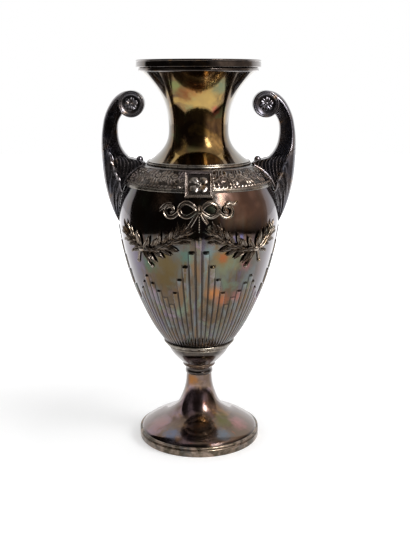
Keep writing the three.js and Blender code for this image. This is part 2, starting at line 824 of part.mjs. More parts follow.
// Plaque: a framed square that leans back along the shoulder, over the fillet

const plaqueLow = around(0, BOWL_TOP_RADIUS + PLAQUE_LOW_STANDOFF, bowlTop - PLAQUE_OVERHANG);
const plaqueHigh = around(0, SHOULDER_TOP_RADIUS + PLAQUE_HIGH_STANDOFF, shoulderTop - PLAQUE_OVERHANG / 2);
const plaqueLean = Math.atan2(plaqueHigh.y - plaqueLow.y, plaqueHigh.z - plaqueLow.z);
const plaqueLength = plaqueHigh.distanceTo(plaqueLow);

// How far the mouldings behind the plaque stand out past the line between its two ends
const mouldingsProud = Math.max(...[...filletFace, ...shoulderOutline].map((p) => (
  (p.x + plaqueLow.y) * Math.cos(plaqueLean) + (p.y - plaqueLow.z) * Math.sin(plaqueLean)
)));
const plaqueLift = mouldingsProud + SEAM + PLAQUE_FLOOR + PLAQUE_RECESS - PLAQUE_THICKNESS;

// Puts a geometry modelled in the plane of the plaque, facing +Z with +Y up it, in its place
function ontoPlaque(geometry, lift) {
  const middle = plaqueLow.clone().add(plaqueHigh).multiplyScalar(0.5);
  const outward = new THREE.Vector3(0, -Math.cos(plaqueLean), Math.sin(plaqueLean));
  const place = middle.addScaledVector(outward, plaqueLift + lift);
  const turn = new THREE.Matrix4().makeRotationX(Math.PI / 2 - plaqueLean);
  return geometry.applyMatrix4(turn).translate(...place.toArray());
}

function rectangle(width, length) {
  const shape = new THREE.Shape();
  shape.moveTo(-width / 2, -length / 2);
  shape.lineTo(width / 2, -length / 2);
  shape.lineTo(width / 2, length / 2);
  shape.lineTo(-width / 2, length / 2);
  shape.closePath();
  return shape;
}

function plate(width, length, depth, bottom) {
  const geometry = new THREE.ExtrudeGeometry(rectangle(width, length), { depth, bevelEnabled: false });
  return geometry.translate(0, 0, bottom);
}

function plaque() {
  const block = plate(PLAQUE_WIDTH, plaqueLength, PLAQUE_THICKNESS + PLAQUE_BACK, -PLAQUE_BACK);
  const field = plate(
    PLAQUE_WIDTH - 2 * PLAQUE_FRAME,
    plaqueLength - 2 * PLAQUE_FRAME,
    PLAQUE_THICKNESS,
    PLAQUE_THICKNESS - PLAQUE_RECESS,
  );
  return toSolid(ontoPlaque(block, 0)).subtract(toSolid(ontoPlaque(field, 0))).subtract(ornamentGround);
}

function flower() {
  const lift = PLAQUE_THICKNESS - PLAQUE_RECESS + SEAM;
  return ontoPlaque(petalled(FLOWER_RADIUS, FLOWER_HEIGHT, FLOWER_PETALS, 3), lift);
}

// Ribbons and festoons lie on the bowl: places are azimuth in degrees and share of its height

const knotHeight = springBandTop + KNOT_HEIGHT_ON_BOWL;

function onBowl(azimuth, height, lift) {
  return around(azimuth, radiusAt(bowlOutline, height) + lift, height);
}

function rodAlong(points, width, thickness, sides, steps) {
  const section = new THREE.Shape();
  for (let i = 0; i < sides; i += 1) {
    const angle = (i + 0.5) * Math.PI * 2 / sides;
    const corner = [Math.cos(angle) * thickness / 2, Math.sin(angle) * width / 2];
    if (i === 0) section.moveTo(...corner);
    else section.lineTo(...corner);
  }
  section.closePath();
  const path = new THREE.CatmullRomCurve3(points);
  return new THREE.ExtrudeGeometry(section, { steps, bevelEnabled: false, extrudePath: path });
}

function ribbon(places, steps) {
  const lift = SEAM + RIBBON_WIDTH * 0.75;
  const points = places.map(([azimuth, rise]) => onBowl(azimuth, knotHeight + rise * BOWL_HEIGHT, lift));
  return toSolid(rodAlong(points, RIBBON_WIDTH, RIBBON_WIDTH, 3, steps));
}

function loop(side, reach, rise) {
  const places = [];
  for (let i = 0; i <= 8; i += 1) {
    const turn = i / 8;
    places.push([side * reach * Math.sin(Math.PI * turn), rise * Math.sin(2 * Math.PI * turn)]);
  }
  return ribbon(places, 6);
}

// Paths of the bow from its knot
const BOW_LOOP = [14, 0.0566];
const BOW_SMALL_LOOP = [[0, 0.007], [14, -0.007], [21, -0.027], [22, 0.02], [17, 0.03]];
const BOW_TAIL = [[21, 0.007], [25, 0.027], [29, 0.033]];
const BOW_STREAMER = [[0, -0.007], [3, -0.04], [5.2, -0.077]];
const BOW_DROP = [[0, 0], [0, -0.053], [0, -0.107], [0, -0.14]];
const KNOT_SIZE = [3, 2.2, 4.8];

function bow() {
  const knot = new THREE.SphereGeometry(1, 8, 5).scale(...KNOT_SIZE);
  const knotSolid = toSolid(knot.translate(...onBowl(0, knotHeight, KNOT_SIZE[1] + 2 * SEAM).toArray()));
  const pieces = [ribbon(BOW_DROP, 2)];
  [-1, 1].forEach((side) => {
    const onSide = (path) => path.map(([azimuth, rise]) => [side * azimuth, rise]);
    pieces.push(loop(side, ...BOW_LOOP));
    pieces.push(ribbon(onSide(BOW_SMALL_LOOP), 6));
    pieces.push(ribbon(onSide(BOW_TAIL), 2));
    pieces.push(ribbon(onSide(BOW_STREAMER), 2));
  });
  return pieces.reduce((whole, piece) => whole.add(piece), knotSolid).subtract(bowlClearance);
}

// Ground for thin applied work: the bowl one seam's width proud of its wall and of its reeds
const bowlClearance = toSolid(turnedSolid(offsetOutline(
  bowlOutline.filter((p, i) => i % 4 === 0 && p.y > springBandTop + BOWL_HEIGHT / 3),
  SEAM,
), ROUND_GROUND));

// Festoon on the right of the front: a laurel stem from the ribbon down to its tie and up again
const FESTOON = [[6.4, 0.821], [15, 0.7695], [26, 0.716], [36, 0.673], [43.5, 0.651]];
const FESTOON_RISE = [[43.5, 0.651], [50, 0.6895], [57, 0.736], [63, 0.773]];
const FESTOON_ENDS = [[50, 0.564], [36, 0.538]];

function laurelLeaf(root, along, outward, width) {
  const side = along.clone().cross(outward).normalize();
  const tip = root.clone().addScaledVector(along, LAUREL_LENGTH);
  const belly = root.clone().addScaledVector(along, LAUREL_LENGTH * LAUREL_BELLY);
  const ring = [
    belly.clone().addScaledVector(side, width / 2),
    belly.clone().addScaledVector(outward, width / 2),
    belly.clone().addScaledVector(side, -width / 2),
  ];
  const corners = [root, ...ring, tip];
  const faces = [0, 1, 2, 0, 2, 3, 0, 3, 1, 4, 2, 1, 4, 3, 2, 4, 1, 3];
  const geometry = new THREE.BufferGeometry();
  geometry.setAttribute('position', new THREE.Float32BufferAttribute(corners.flatMap((p) => p.toArray()), 3));
  geometry.setIndex(faces);
  return toSolid(geometry);
}

const onFestoon = (azimuth, share, lift) => onBowl(azimuth, springBandTop + share * BOWL_HEIGHT, lift);

function laurelSpray(places, pairs, lift) {
  const points = places.map(([azimuth, share]) => onFestoon(azimuth, share, lift));
  const path = new THREE.CatmullRomCurve3(points);
  const solids = [toSolid(rodAlong(points, STEM_THICKNESS, STEM_THICKNESS, 4, pairs))];
  for (let i = 0; i < pairs; i += 1) {
    const t = (i + 0.5) / pairs;
    const root = path.getPoint(t);
    const along = path.getTangent(t);
    const outward = new THREE.Vector3(root.x, root.y, 0).normalize();
    const across = along.clone().cross(outward).normalize();
    [-1, 1].forEach((side) => {
      const direction = along.clone().multiplyScalar(-1)
        .addScaledVector(across, side * LAUREL_SPREAD)
        .addScaledVector(outward, LAUREL_LIFT)
        .normalize();
      solids.push(laurelLeaf(root, direction, outward, LAUREL_WIDTH));
    });
  }
  return solids;
}

function festoon() {
  const lift = SEAM + REED_RELIEF + STEM_THICKNESS * 0.75;
  const tie = onFestoon(...FESTOON[FESTOON.length - 1], lift);
  const solids = [
    ...laurelSpray(FESTOON, LAUREL_PAIRS, lift),
    ...laurelSpray([...FESTOON_RISE].reverse(), LAUREL_RISE_PAIRS, lift),
    toSolid(new THREE.SphereGeometry(TIE_RADIUS, 6, 4).translate(...tie.toArray())),
  ];
  FESTOON_ENDS.forEach(([azimuth, share]) => {
    const end = onFestoon(azimuth, share, lift);
    solids.push(toSolid(rodAlong([tie, end], STEM_THICKNESS, STEM_THICKNESS, 4, 1)));
  });
  return solids.reduce((whole, piece) => whole.add(piece)).subtract(bowlClearance);
}

// Copies of a piece on the other sides: mirrored left to right, or turned half round
function mirrored(solid, left, back) {
  const scale = new THREE.Matrix4().makeScale(left ? -1 : 1, back ? -1 : 1, 1);
  const geometry = toGeometry(solid);
  geometry.applyMatrix4(scale);
  if (left !== back) {
    const index = geometry.index.array;
    for (let i = 0; i < index.length; i += 3) {
      [index[i], index[i + 1]] = [index[i + 1], index[i]];
    }
  }
  geometry.computeVertexNormals();
  return geometry;
}

addPiece('foot_band', footBand(), 'olive');
addPiece('foot', foot(), 'tarnished');
addPiece('stem_knop', knop(), 'blackened');
addPiece('stem_flange', flange(), 'tarnished');
addPiece('cup', cup(), 'blackened');
addPiece('cup_bead', cupBead(), 'grey');
addPiece('spring_band', springBand(), 'grey');
addPiece('bowl', bowl(), 'olive');
addPiece('fillet_wire', fillet(), 'grey');
addPiece('shoulder', shoulder(), 'grey');
addPiece('neck_bead', neckBead(), 'grey');
addPiece('neck', neck(), 'tarnished');
addPiece('rim_wire', rimWire(), 'blackened');
addPiece('rim', rim(), 'blackened');
addPiece('centre_stud', stud(), 'brass');
addPiece('stud_washer', washer(), 'brass');
addPiece('stud_nut', nut(), 'brass');

const handleSolid = handle();
const leafSolid = leaf();
const rosetteDepth = VOLUTE_DEPTH / 2 - VOLUTE_DISH + SEAM;
['left', 'right'].forEach((name, i) => {
  const side = i === 0 ? -1 : 1;
  addPiece(`handle_${name}`, mirrored(handleSolid, side < 0, false), 'blackened');
  addPiece(`handle_leaf_${name}`, mirrored(leafSolid, side < 0, false), 'blackened');
  const ball = addPiece(`handle_ball_${name}`, new THREE.SphereGeometry(BALL_RADIUS, 10, 6), 'blackened');
  ball.position.set(side * ballPlace.x, 0, ballPlace.z);
  ['front', 'back'].forEach((face, j) => {
    const rosette = petalled(ROSETTE_RADIUS, ROSETTE_HEIGHT, ROSETTE_PETALS, 2);
    const mesh = addPiece(`volute_rosette_${name}_${face}`, rosette, 'blackened');
    mesh.position.set(side * volute.x, (j === 0 ? -1 : 1) * rosetteDepth, volute.y);
    mesh.rotation.x = (j === 0 ? 1 : -1) * Math.PI / 2;
  });
});

const plaqueSolid = plaque();
const flowerSolid = toSolid(flower());
const bowSolid = bow();
const festoonSolid = festoon();
['front', 'back'].forEach((face, j) => {
  const back = j === 1;
  addPiece(`plaque_${face}`, mirrored(plaqueSolid, false, back), 'grey');
  addPiece(`plaque_flower_${face}`, mirrored(flowerSolid, false, back), 'grey');
  addPiece(`bow_${face}`, mirrored(bowSolid, false, back), 'blackened');
  ['left', 'right'].forEach((name) => {
    addPiece(`festoon_${face}_${name}`, mirrored(festoonSolid, name === 'left', back), 'grey');
  });
});

export default vase;
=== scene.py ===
"""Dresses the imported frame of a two-handled vase in tarnished silver plate.

Metres, +Z up, the face in view looks along -Y. The turned pieces are built from the foot up, then the
castings that sit on them, each over the CAD node that it stands for. The stage comes last.
"""

import math

import bpy
import numpy as np
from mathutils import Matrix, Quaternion, Vector


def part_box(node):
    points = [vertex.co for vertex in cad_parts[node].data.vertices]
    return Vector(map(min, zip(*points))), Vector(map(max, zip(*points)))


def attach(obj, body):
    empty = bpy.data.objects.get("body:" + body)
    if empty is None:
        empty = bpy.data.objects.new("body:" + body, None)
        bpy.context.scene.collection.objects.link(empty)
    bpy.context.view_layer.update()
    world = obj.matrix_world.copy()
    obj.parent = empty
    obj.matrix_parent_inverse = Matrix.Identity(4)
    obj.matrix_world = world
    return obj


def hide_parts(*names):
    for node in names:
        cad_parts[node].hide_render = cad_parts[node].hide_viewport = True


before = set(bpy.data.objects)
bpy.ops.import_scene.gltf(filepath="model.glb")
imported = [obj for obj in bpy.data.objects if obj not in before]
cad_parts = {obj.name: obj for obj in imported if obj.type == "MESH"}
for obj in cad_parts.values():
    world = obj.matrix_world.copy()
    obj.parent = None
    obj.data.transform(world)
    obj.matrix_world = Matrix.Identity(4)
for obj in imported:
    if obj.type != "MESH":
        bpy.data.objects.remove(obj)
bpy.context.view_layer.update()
MM = 0.001


# Foot band
# The heavy cast ring that the vase stands on: a plain band with a turned groove and a bead over it.
# Its plating has worn to a mottled grey and olive.

def arc(middle, reach, rise, start, end, steps=8):
    """Points (radius, height) of a rounded corner or bead, angles in degrees from straight out."""
    angles = [math.radians(start + (end - start) * i / steps) for i in range(steps + 1)]
    return [(middle[0] + reach * math.cos(a), middle[1] + rise * math.sin(a)) for a in angles]


def begin(name, add_primitive, **shape):
    """Adds a primitive with nothing else selected, and names it and its mesh."""
    bpy.ops.object.select_all(action="DESELECT")
    add_primitive(**shape)
    piece = bpy.context.object
    piece.name = piece.data.name = name
    return piece


def settle():
    """Applies the place, turn and scale of what is selected."""
    bpy.ops.object.transform_apply(location=True, rotation=True, scale=True)


def edit_all():
    """Opens the active piece in edit mode with all of it selected."""
    bpy.ops.object.mode_set(mode="EDIT")
    bpy.ops.mesh.select_mode(type="VERT")
    bpy.ops.mesh.select_all(action="SELECT")


SHARP_ANGLE = math.radians(38)


def face_outwards():
    """Faces the mesh in edit mode outwards and smooths it, but for its sharp edges."""
    bpy.ops.mesh.normals_make_consistent(inside=False)
    bpy.ops.object.mode_set(mode="OBJECT")
    bpy.ops.object.shade_smooth_by_angle(angle=SHARP_ANGLE)


def close_up():
    """Welds what touches in the mesh in edit mode, and finishes it."""
    bpy.ops.mesh.select_all(action="SELECT")
    bpy.ops.mesh.remove_doubles(threshold=0.005 * MM)
    face_outwards()


def turned(name, outline, facets=144, closed=True):
    """Draws an outline of (radius, height) points from one vertex and turns it about the axis."""
    points = list(outline) + ([outline[0]] if closed else [])
    first = (points[0][0], 0, points[0][1])
    piece = begin(name, bpy.ops.mesh.primitive_plane_add, size=MM, location=first)
    settle()
    edit_all()
    bpy.ops.mesh.merge(type="CENTER")
    for (r0, z0), (r1, z1) in zip(points, points[1:]):
        bpy.ops.mesh.extrude_region_move(TRANSFORM_OT_translate={"value": (r1 - r0, 0, z1 - z0)})
    bpy.ops.object.mode_set(mode="OBJECT")
    turn = piece.modifiers.new("turn", "SCREW")
    turn.steps = turn.render_steps = facets
    bpy.ops.object.modifier_apply(modifier="turn")
    bpy.ops.object.mode_set(mode="EDIT")
    close_up()
    return piece


def paint(red, green, blue):
    """A colour as the eye reads it, 0 to 255, as the linear one that a shader takes."""
    shares = [v / 255 for v in (red, green, blue)]
    return (*[v / 12.92 if v < 0.04 else ((v + 0.055) / 1.055) ** 2.4 for v in shares], 1)


def feed(tree, node, inputs):
    """Gives inputs of a node a value, or links them to a socket."""
    for key, value in inputs.items():
        if isinstance(value, bpy.types.NodeSocket):
            tree.links.new(value, node.inputs[key])
        else:
            node.inputs[key].default_value = value


def add_node(tree, kind, inputs=(), **settings):
    """A shader node with its settings made and its inputs fed."""
    made = tree.nodes.new("ShaderNode" + kind)
    for name, value in settings.items():
        setattr(made, name, value)
    feed(tree, made, dict(inputs))
    return made


def maths(tree, operation, *values):
    """What a maths node makes of numbers or sockets."""
    return add_node(tree, "Math", dict(enumerate(values)), operation=operation).outputs[0]


def vectors(tree, operation, *values, output=0):
    """What a vector maths node makes of vectors or sockets."""
    return add_node(tree, "VectorMath", dict(enumerate(values)), operation=operation).outputs[output]


def ramp(tree, value, low, high, start=0.0, end=1.0, **settings):
    """A value between low and high, turned into one between start and end."""
    return add_node(tree, "MapRange", {
        "Value": value, "From Min": low, "From Max": high, "To Min": start, "To Max": end,
    }, **settings).outputs[0]


def new_group(name, output, **inputs):
    """An empty shader group with an input for each value, and its inner sockets at both ends."""
    group = bpy.data.node_groups.new(name, "ShaderNodeTree")
    for label, value in inputs.items():
        kind = "NodeSocketVector" if isinstance(value, tuple) else "NodeSocketFloat"
        group.interface.new_socket(name=label, in_out="INPUT", socket_type=kind).default_value = value
    group.interface.new_socket(name=output, in_out="OUTPUT", socket_type="NodeSocketFloat")
    return group, group.nodes.new("NodeGroupInput").outputs, group.nodes.new("NodeGroupOutput").inputs[0]


# Tarnish that spreads in clouds: a mask with soft, wandering edges
cloud_group, entry, leave = new_group(
    "tarnish cloud", "Mask", Place=(0, 0, 0), Size=20 * MM, Reach=0.5, Softness=0.1)
noise = add_node(cloud_group, "TexNoise", {
    "Vector": entry["Place"], "Scale": maths(cloud_group, "DIVIDE", 1.0, entry["Size"]),
    "Detail": 5.0, "Roughness": 0.6, "Distortion": 0.6,
})
low_edge = maths(cloud_group, "SUBTRACT", entry["Reach"], entry["Softness"])
high_edge = maths(cloud_group, "ADD", entry["Reach"], entry["Softness"])
spread = ramp(cloud_group, noise.outputs[0], low_edge, high_edge, 1.0, 0.0, interpolation_type="SMOOTHSTEP")
cloud_group.links.new(spread, leave)

# One stain at a known place, with a ragged edge
STAIN_RAGGED = 1.2
stain_group, entry, leave = new_group("stain", "Mask", Place=(0, 0, 0), Centre=(0, 0, 0), Width=10 * MM)
noise = add_node(stain_group, "TexNoise", {
    "Vector": entry["Place"], "Scale": maths(stain_group, "DIVIDE", 2.2, entry["Width"]), "Detail": 5.0,
})
wander = add_node(stain_group, "VectorMath", {
    0: vectors(stain_group, "SUBTRACT", noise.outputs["Color"], (0.5, 0.5, 0.5)),
    "Scale": maths(stain_group, "MULTIPLY", entry["Width"], STAIN_RAGGED),
}, operation="SCALE")
moved = vectors(stain_group, "ADD", entry["Place"], wander.outputs[0])
away = vectors(stain_group, "DISTANCE", moved, entry["Centre"], output="Value")
share = maths(stain_group, "DIVIDE", away, entry["Width"])
fade = ramp(stain_group, share, 0.1, 1.1, 0.9, 0.0, interpolation_type="SMOOTHSTEP")
stain_group.links.new(fade, leave)

# The fine rings that a lathe or a polishing wheel leaves round the axis
ring_group, entry, leave = new_group("turning lines", "Height", Place=(0, 0, 0), Pitch=0.6 * MM)
parts = add_node(ring_group, "SeparateXYZ", {0: entry["Place"]}).outputs
flat = add_node(ring_group, "CombineXYZ", {0: parts[0], 1: parts[1]})
radius = vectors(ring_group, "LENGTH", flat.outputs[0], output="Value")
count = maths(ring_group, "DIVIDE", maths(ring_group, "ADD", radius, parts[2]), entry["Pitch"])
lines = add_node(ring_group, "TexNoise", {"W": count, "Scale": 1.0, "Detail": 3.0}, noise_dimensions="1D")
ring_group.links.new(lines.outputs[0], leave)


def mix_colour(tree, mask, under, over):
    """The colour over laid on the colour under through a mask."""
    return add_node(tree, "Mix", {"Factor": mask, 6: under, 7: over}, data_type="RGBA").outputs[2]


def plate(name, ground, clouds=(), streaks=(), stains=(), recess=None, edge=None,
          roughness=(0.16, 0.34), pitch=0.6, scratch=0.15):
    """Tarnished silver plate, sizes in millimetres. clouds are (colour, size, reach, softness),
    streaks upright clouds, stains (colour, centre, width), recess the colour of the dirt where a
    surface is low, and edge the colour of a painted pale reflection that the surface takes where it
    is seen at a low angle."""
    made = bpy.data.materials.new(name)
    made.use_nodes = True
    tree = made.node_tree
    place = add_node(tree, "TexCoord").outputs["Object"]

    def cloud(at, size, reach, softness):
        return add_node(tree, "Group", {
            "Place": at, "Size": size * MM, "Reach": reach, "Softness": softness,
        }, node_tree=cloud_group).outputs[0]

    colour = paint(*ground)
    for tint, *shape in clouds:
        colour = mix_colour(tree, cloud(place, *shape), colour, paint(*tint))
    for tint, *shape in streaks:
        drawn_out = vectors(tree, "MULTIPLY", place, (1, 1, 0.04))
        colour = mix_colour(tree, cloud(drawn_out, *shape), colour, paint(*tint))
    for tint, centre, width in stains:
        stain = add_node(tree, "Group", {
            "Place": place, "Centre": [v * MM for v in centre], "Width": width * MM,
        }, node_tree=stain_group)
        colour = mix_colour(tree, stain.outputs[0], colour, paint(*tint))
    if recess:
        raised = add_node(tree, "Attribute", attribute_name="raised").outputs["Fac"]
        colour = mix_colour(tree, ramp(tree, raised, 0.05, 0.6, 0.8, 0.0), colour, paint(*recess))
    # Painted reflection: where the surface is seen at a low angle, its colour turns towards the pale edge
    # colour
    if edge:
        slant = add_node(tree, "LayerWeight", {"Blend": 0.5}).outputs["Facing"]
        colour = mix_colour(tree, ramp(tree, slant, 0.42, 0.68, 0.0, 0.85), colour, paint(*edge))
    rings = add_node(tree, "Group", {"Place": place, "Pitch": pitch * MM}, node_tree=ring_group)
    bump = add_node(tree, "Bump", {"Strength": scratch, "Distance": 0.05 * MM, "Height": rings.outputs[0]})
    feed(tree, tree.nodes["Principled BSDF"], {
        "Base Color": colour, "Roughness": ramp(tree, cloud(place, 9, 0.5, 0.25), 0, 1, *roughness),
        "Normal": bump.outputs[0], "Metallic": 1.0, "Coat Weight": 0.3, "Coat Roughness": 0.05,
    })
    return made


def fit(piece, material, node):
    """Gives a finished piece its material and its place on the vase."""
    piece.data.materials.clear()
    piece.data.materials.append(material)
    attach(piece, "root")
    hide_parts(node)


band_radius, _, band_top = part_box("foot_band")[1]
band_bore = band_radius - 5.3 * MM
band_edge = 0.9 * MM
band_bead = 1.1 * MM
groove_middle = 6.5 * MM
groove_depth = 1.1 * MM
groove_half = 0.8 * MM

foot_band = turned("foot_band_cast", [
    (band_bore, 0),
    *arc((band_radius - band_edge, band_edge), band_edge, band_edge, -90, 0, 4),
    (band_radius, groove_middle - groove_half - 0.1 * MM),
    *arc((band_radius, groove_middle), groove_depth, groove_half, -90, -270, 6),
    *arc((band_radius - band_bead, band_top - band_bead), band_bead, band_bead, -60, 90, 8),
    (band_bore, band_top),
])
olive = plate(
    "worn_olive_plate", (150, 132, 118),
    clouds=[((70, 62, 48), 14, 0.5, 0.12), ((134, 96, 58), 9, 0.34, 0.06), ((92, 90, 88), 22, 0.42, 0.1)],
    roughness=(0.25, 0.42),
)
fit(foot_band, olive, "foot_band")


# Foot
# A trumpet spun from sheet and soldered to the band: a flat dome that runs up into a slim stem.
# Its tarnish is brown and lilac with a golden cast, and dirt lies along its join to the band. A warm gold
# spot on the front of the dome is a painted highlight.

def along(points, place):
    """The place on a smooth curve through points, place counted in points from the first."""
    last = len(points) - 1
    i = min(int(place), last - 1)
    t = place - i
    p0, p1, p2, p3 = [points[min(max(k, 0), last)] for k in (i - 1, i, i + 1, i + 2)]
    return tuple(
        0.5 * (2 * b + (c - a) * t + (2 * a - 5 * b + 4 * c - d) * t * t + (3 * b - a - 3 * c + d) * t ** 3)
        for a, b, c, d in zip(p0, p1, p2, p3)
    )


def flowing(points, steps):
    """A smooth curve through points, cut into an equal number of steps."""
    return [along(points, (len(points) - 1) * i / steps) for i in range(steps + 1)]


def set_in(outline, wall):
    """An outline moved in by the wall's thickness, read from the top down."""
    inner = []
    for i, (r, z) in enumerate(outline):
        (r0, z0), (r1, z1) = outline[max(i - 1, 0)], outline[min(i + 1, len(outline) - 1)]
        length = math.hypot(r1 - r0, z1 - z0)
        inner.append((r - wall * (z1 - z0) / length, z + wall * (r1 - r0) / length))
    return inner[::-1]


def spanned(shape, foot, height, start, end):
    """Points (radius, height) from shares of a height over its foot, and of the way to a radius."""
    return [(start + out * (end - start), foot + up * height) for up, out in shape]


def keep_raised(piece, weights):
    """Keeps how far each vertex stands up, 0 to 1, where the dirt of a material reads it."""
    kept = piece.data.attributes.new("raised", "FLOAT", "POINT")
    kept.data.foreach_set("value", np.full(len(kept.data), np.clip(weights, 0, 1), np.float32))


def places(piece):
    """Azimuth from the front towards +X in degrees, radius and height of each vertex."""
    flat = np.empty(len(piece.data.vertices) * 3)
    piece.data.vertices.foreach_get("co", flat)
    x, y, z = flat.reshape(-1, 3).T
    return np.degrees(np.arctan2(x, -y)), np.hypot(x, y), z


WALL = 1.2 * MM
# The strip of dirt along the foot's edge, and the share of it that is dirty all over
FOOT_JOIN = 1.8 * MM
FOOT_JOIN_FULL = 0.3
foot_low, foot_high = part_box("foot")
foot_radius = foot_high.x
foot_height = foot_high.z - foot_low.z
stem_radius = 12.1 * MM
stud_hole = 3.4 * MM
# Share of the foot's height, and share of the way out from the stem to the edge
FOOT_SHAPE = [
    (0, 1), (0.05, 0.945), (0.12, 0.81), (0.19, 0.64), (0.265, 0.425),
    (0.41, 0.205), (0.6, 0.09), (0.8, 0.02), (1, 0),
]
foot_face = flowing(spanned(FOOT_SHAPE, foot_low.z, foot_height, stem_radius, foot_radius), 44)
foot = turned("foot_spun", [
    (foot_radius - WALL, foot_low.z),
    *foot_face,
    (stud_hole, foot_high.z),
    (stud_hole, foot_high.z - WALL),
    *set_in(foot_face, WALL)[1:-1],
])
keep_raised(foot, (foot_radius - places(foot)[1]) / FOOT_JOIN - FOOT_JOIN_FULL)
brown = plate(
    "brown_gold_plate", (112, 96, 83),
    clouds=[
        ((84, 64, 50), 30, 0.5, 0.14), ((146, 112, 78), 18, 0.4, 0.1), ((136, 116, 124), 34, 0.42, 0.12),
        ((150, 96, 70), 8, 0.33, 0.06),
    ],
    stains=[
        ((98, 104, 122), (-27, -42, 15), 12), ((150, 118, 116), (-38, -19, 19), 15),
        ((96, 92, 54), (23, -25, 23), 13), ((148, 96, 44), (-7, -10, 59), 8),
        ((166, 118, 118), (38, -20, 19), 12), ((104, 112, 122), (23, -43, 16), 11),
        # The last stain, a warm gold spot on the front of the dome, is a painted highlight
        ((168, 124, 76), (3, -30, 25), 8),
    ],
    # edge is the colour of a painted pale reflection at low angles
    recess=(24, 19, 16), edge=(134, 124, 121), roughness=(0.09, 0.18), scratch=0.2,
)
fit(foot, brown, "foot")


# Knop and flange
# Two turned rings on the stem: a low knop over the foot and a wider flange under the cup, with a
# groove between them. The knop is blackened, and the flange has tarnished brown like the foot.

knop_low, knop_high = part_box("stem_knop")
flange_low, flange_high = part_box("stem_flange")
knop_radius = knop_high.x
knop_rise = 1.9 * MM
groove_radius = stem_radius + 0.9 * MM
flange_radius = flange_high.x
flange_middle = flange_high.z - 1.9 * MM
flange_bulge = 0.6 * MM
flange_half = 0.7 * MM

knop = turned("stem_knop_turned", [
    (stud_hole, knop_low.z),
    *arc((stem_radius, knop_low.z + knop_rise), knop_radius - stem_radius, knop_rise, -90, 90, 10),
    (groove_radius, knop_high.z - 1.6 * MM),
    (groove_radius, knop_high.z),
    (stud_hole, knop_high.z),
], facets=96)
flange = turned("stem_flange_turned", [
    (stud_hole, flange_low.z),
    (groove_radius, flange_low.z),
    (flange_radius - 0.8 * MM, flange_middle - flange_half),
    *arc((flange_radius - flange_bulge, flange_middle), flange_bulge, flange_half, -90, 90, 6),
    (flange_radius - 0.5 * MM, flange_high.z),
    (stud_hole, flange_high.z),
], facets=96)
keep_raised(flange, 1)
black = plate(
    "black_plate", (84, 76, 70),
    clouds=[((52, 46, 44), 16, 0.5, 0.12), ((112, 88, 60), 12, 0.36, 0.08)],
    # edge is the colour of a painted pale reflection at low angles
    edge=(160, 154, 152), roughness=(0.09, 0.18),
)
fit(knop, black, "stem_knop")
fit(flange, brown, "stem_flange")


# Cup, its bead and the spring band
# A plain spun cup, blackened like the knop, carries the bowl. A drawn bead covers its rim, and over
# it a band stamped with long ovals makes the ledge that the reeds spring from. Both are worn grey.

cup_low, cup_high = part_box("cup")
bead_low, bead_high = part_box("cup_bead")
spring_low, spring_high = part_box("spring_band")
cup_foot = 15.6 * MM
cup_radius = cup_high.x
CUP_SHAPE = [(0, 0), (0.28, 0.36), (0.52, 0.63), (0.76, 0.86), (1, 1)]
cup_face = flowing(spanned(CUP_SHAPE, cup_low.z, cup_high.z - cup_low.z, cup_foot, cup_radius), 20)
cup = turned("cup_spun", [
    (stud_hole, cup_low.z),
    *cup_face,
    *[p for p in set_in(cup_face, WALL) if p[1] > cup_low.z + WALL],
    (cup_foot - WALL, cup_low.z + WALL),
    (stud_hole, cup_low.z + WALL),
])
fit(cup, black, "cup")


def drawn_wire(name, back, low, high, bulge, steps):
    """A half-round wire drawn to a bulge, in a ring from its flat back out to its box."""
    return turned(name, [
        (back, low.z),
        *arc((high.x - bulge, (low.z + high.z) / 2), bulge, bulge, -90, 90, steps),
        (back, high.z),
    ])


bead_radius = bead_high.x
cup_bead = drawn_wire("cup_bead_drawn", cup_radius - WALL, bead_low, bead_high, 1.2 * MM, 10)


def only(*objects):
    """Selects these objects alone, with the first one active."""
    bpy.ops.object.select_all(action="DESELECT")
    for item in objects:
        item.select_set(True)
    bpy.context.view_layer.objects.active = objects[0]


def raise_relief(piece, weights, height, marks=None):
    """Pushes a surface out by a weight per vertex, and keeps the weights or other marks of dirt."""
    group = piece.vertex_groups.new(name="raised")
    levels = np.round(np.clip(weights, 0, 1) * 250).astype(int)
    for level in np.unique(levels[levels > 0]):
        group.add(np.flatnonzero(levels == level).tolist(), level / 250, "REPLACE")
    push = piece.modifiers.new("raise", "DISPLACE")
    push.vertex_group = "raised"
    push.mid_level = 0
    push.strength = height
    only(piece)
    bpy.ops.object.modifier_apply(modifier="raise")
    piece.vertex_groups.clear()
    keep_raised(piece, weights if marks is None else marks)


def dome(*reaches):
    """Height, 0 to 1, of a round form at places given as shares of its half sizes."""
    return np.sqrt(np.clip(1 - sum(reach ** 2 for reach in reaches), 0, 1))


spring_radius = spring_high.x
SPRING_OVALS = 24
FACETS_PER_OVAL = 16
SPRING_RELIEF = 0.45 * MM
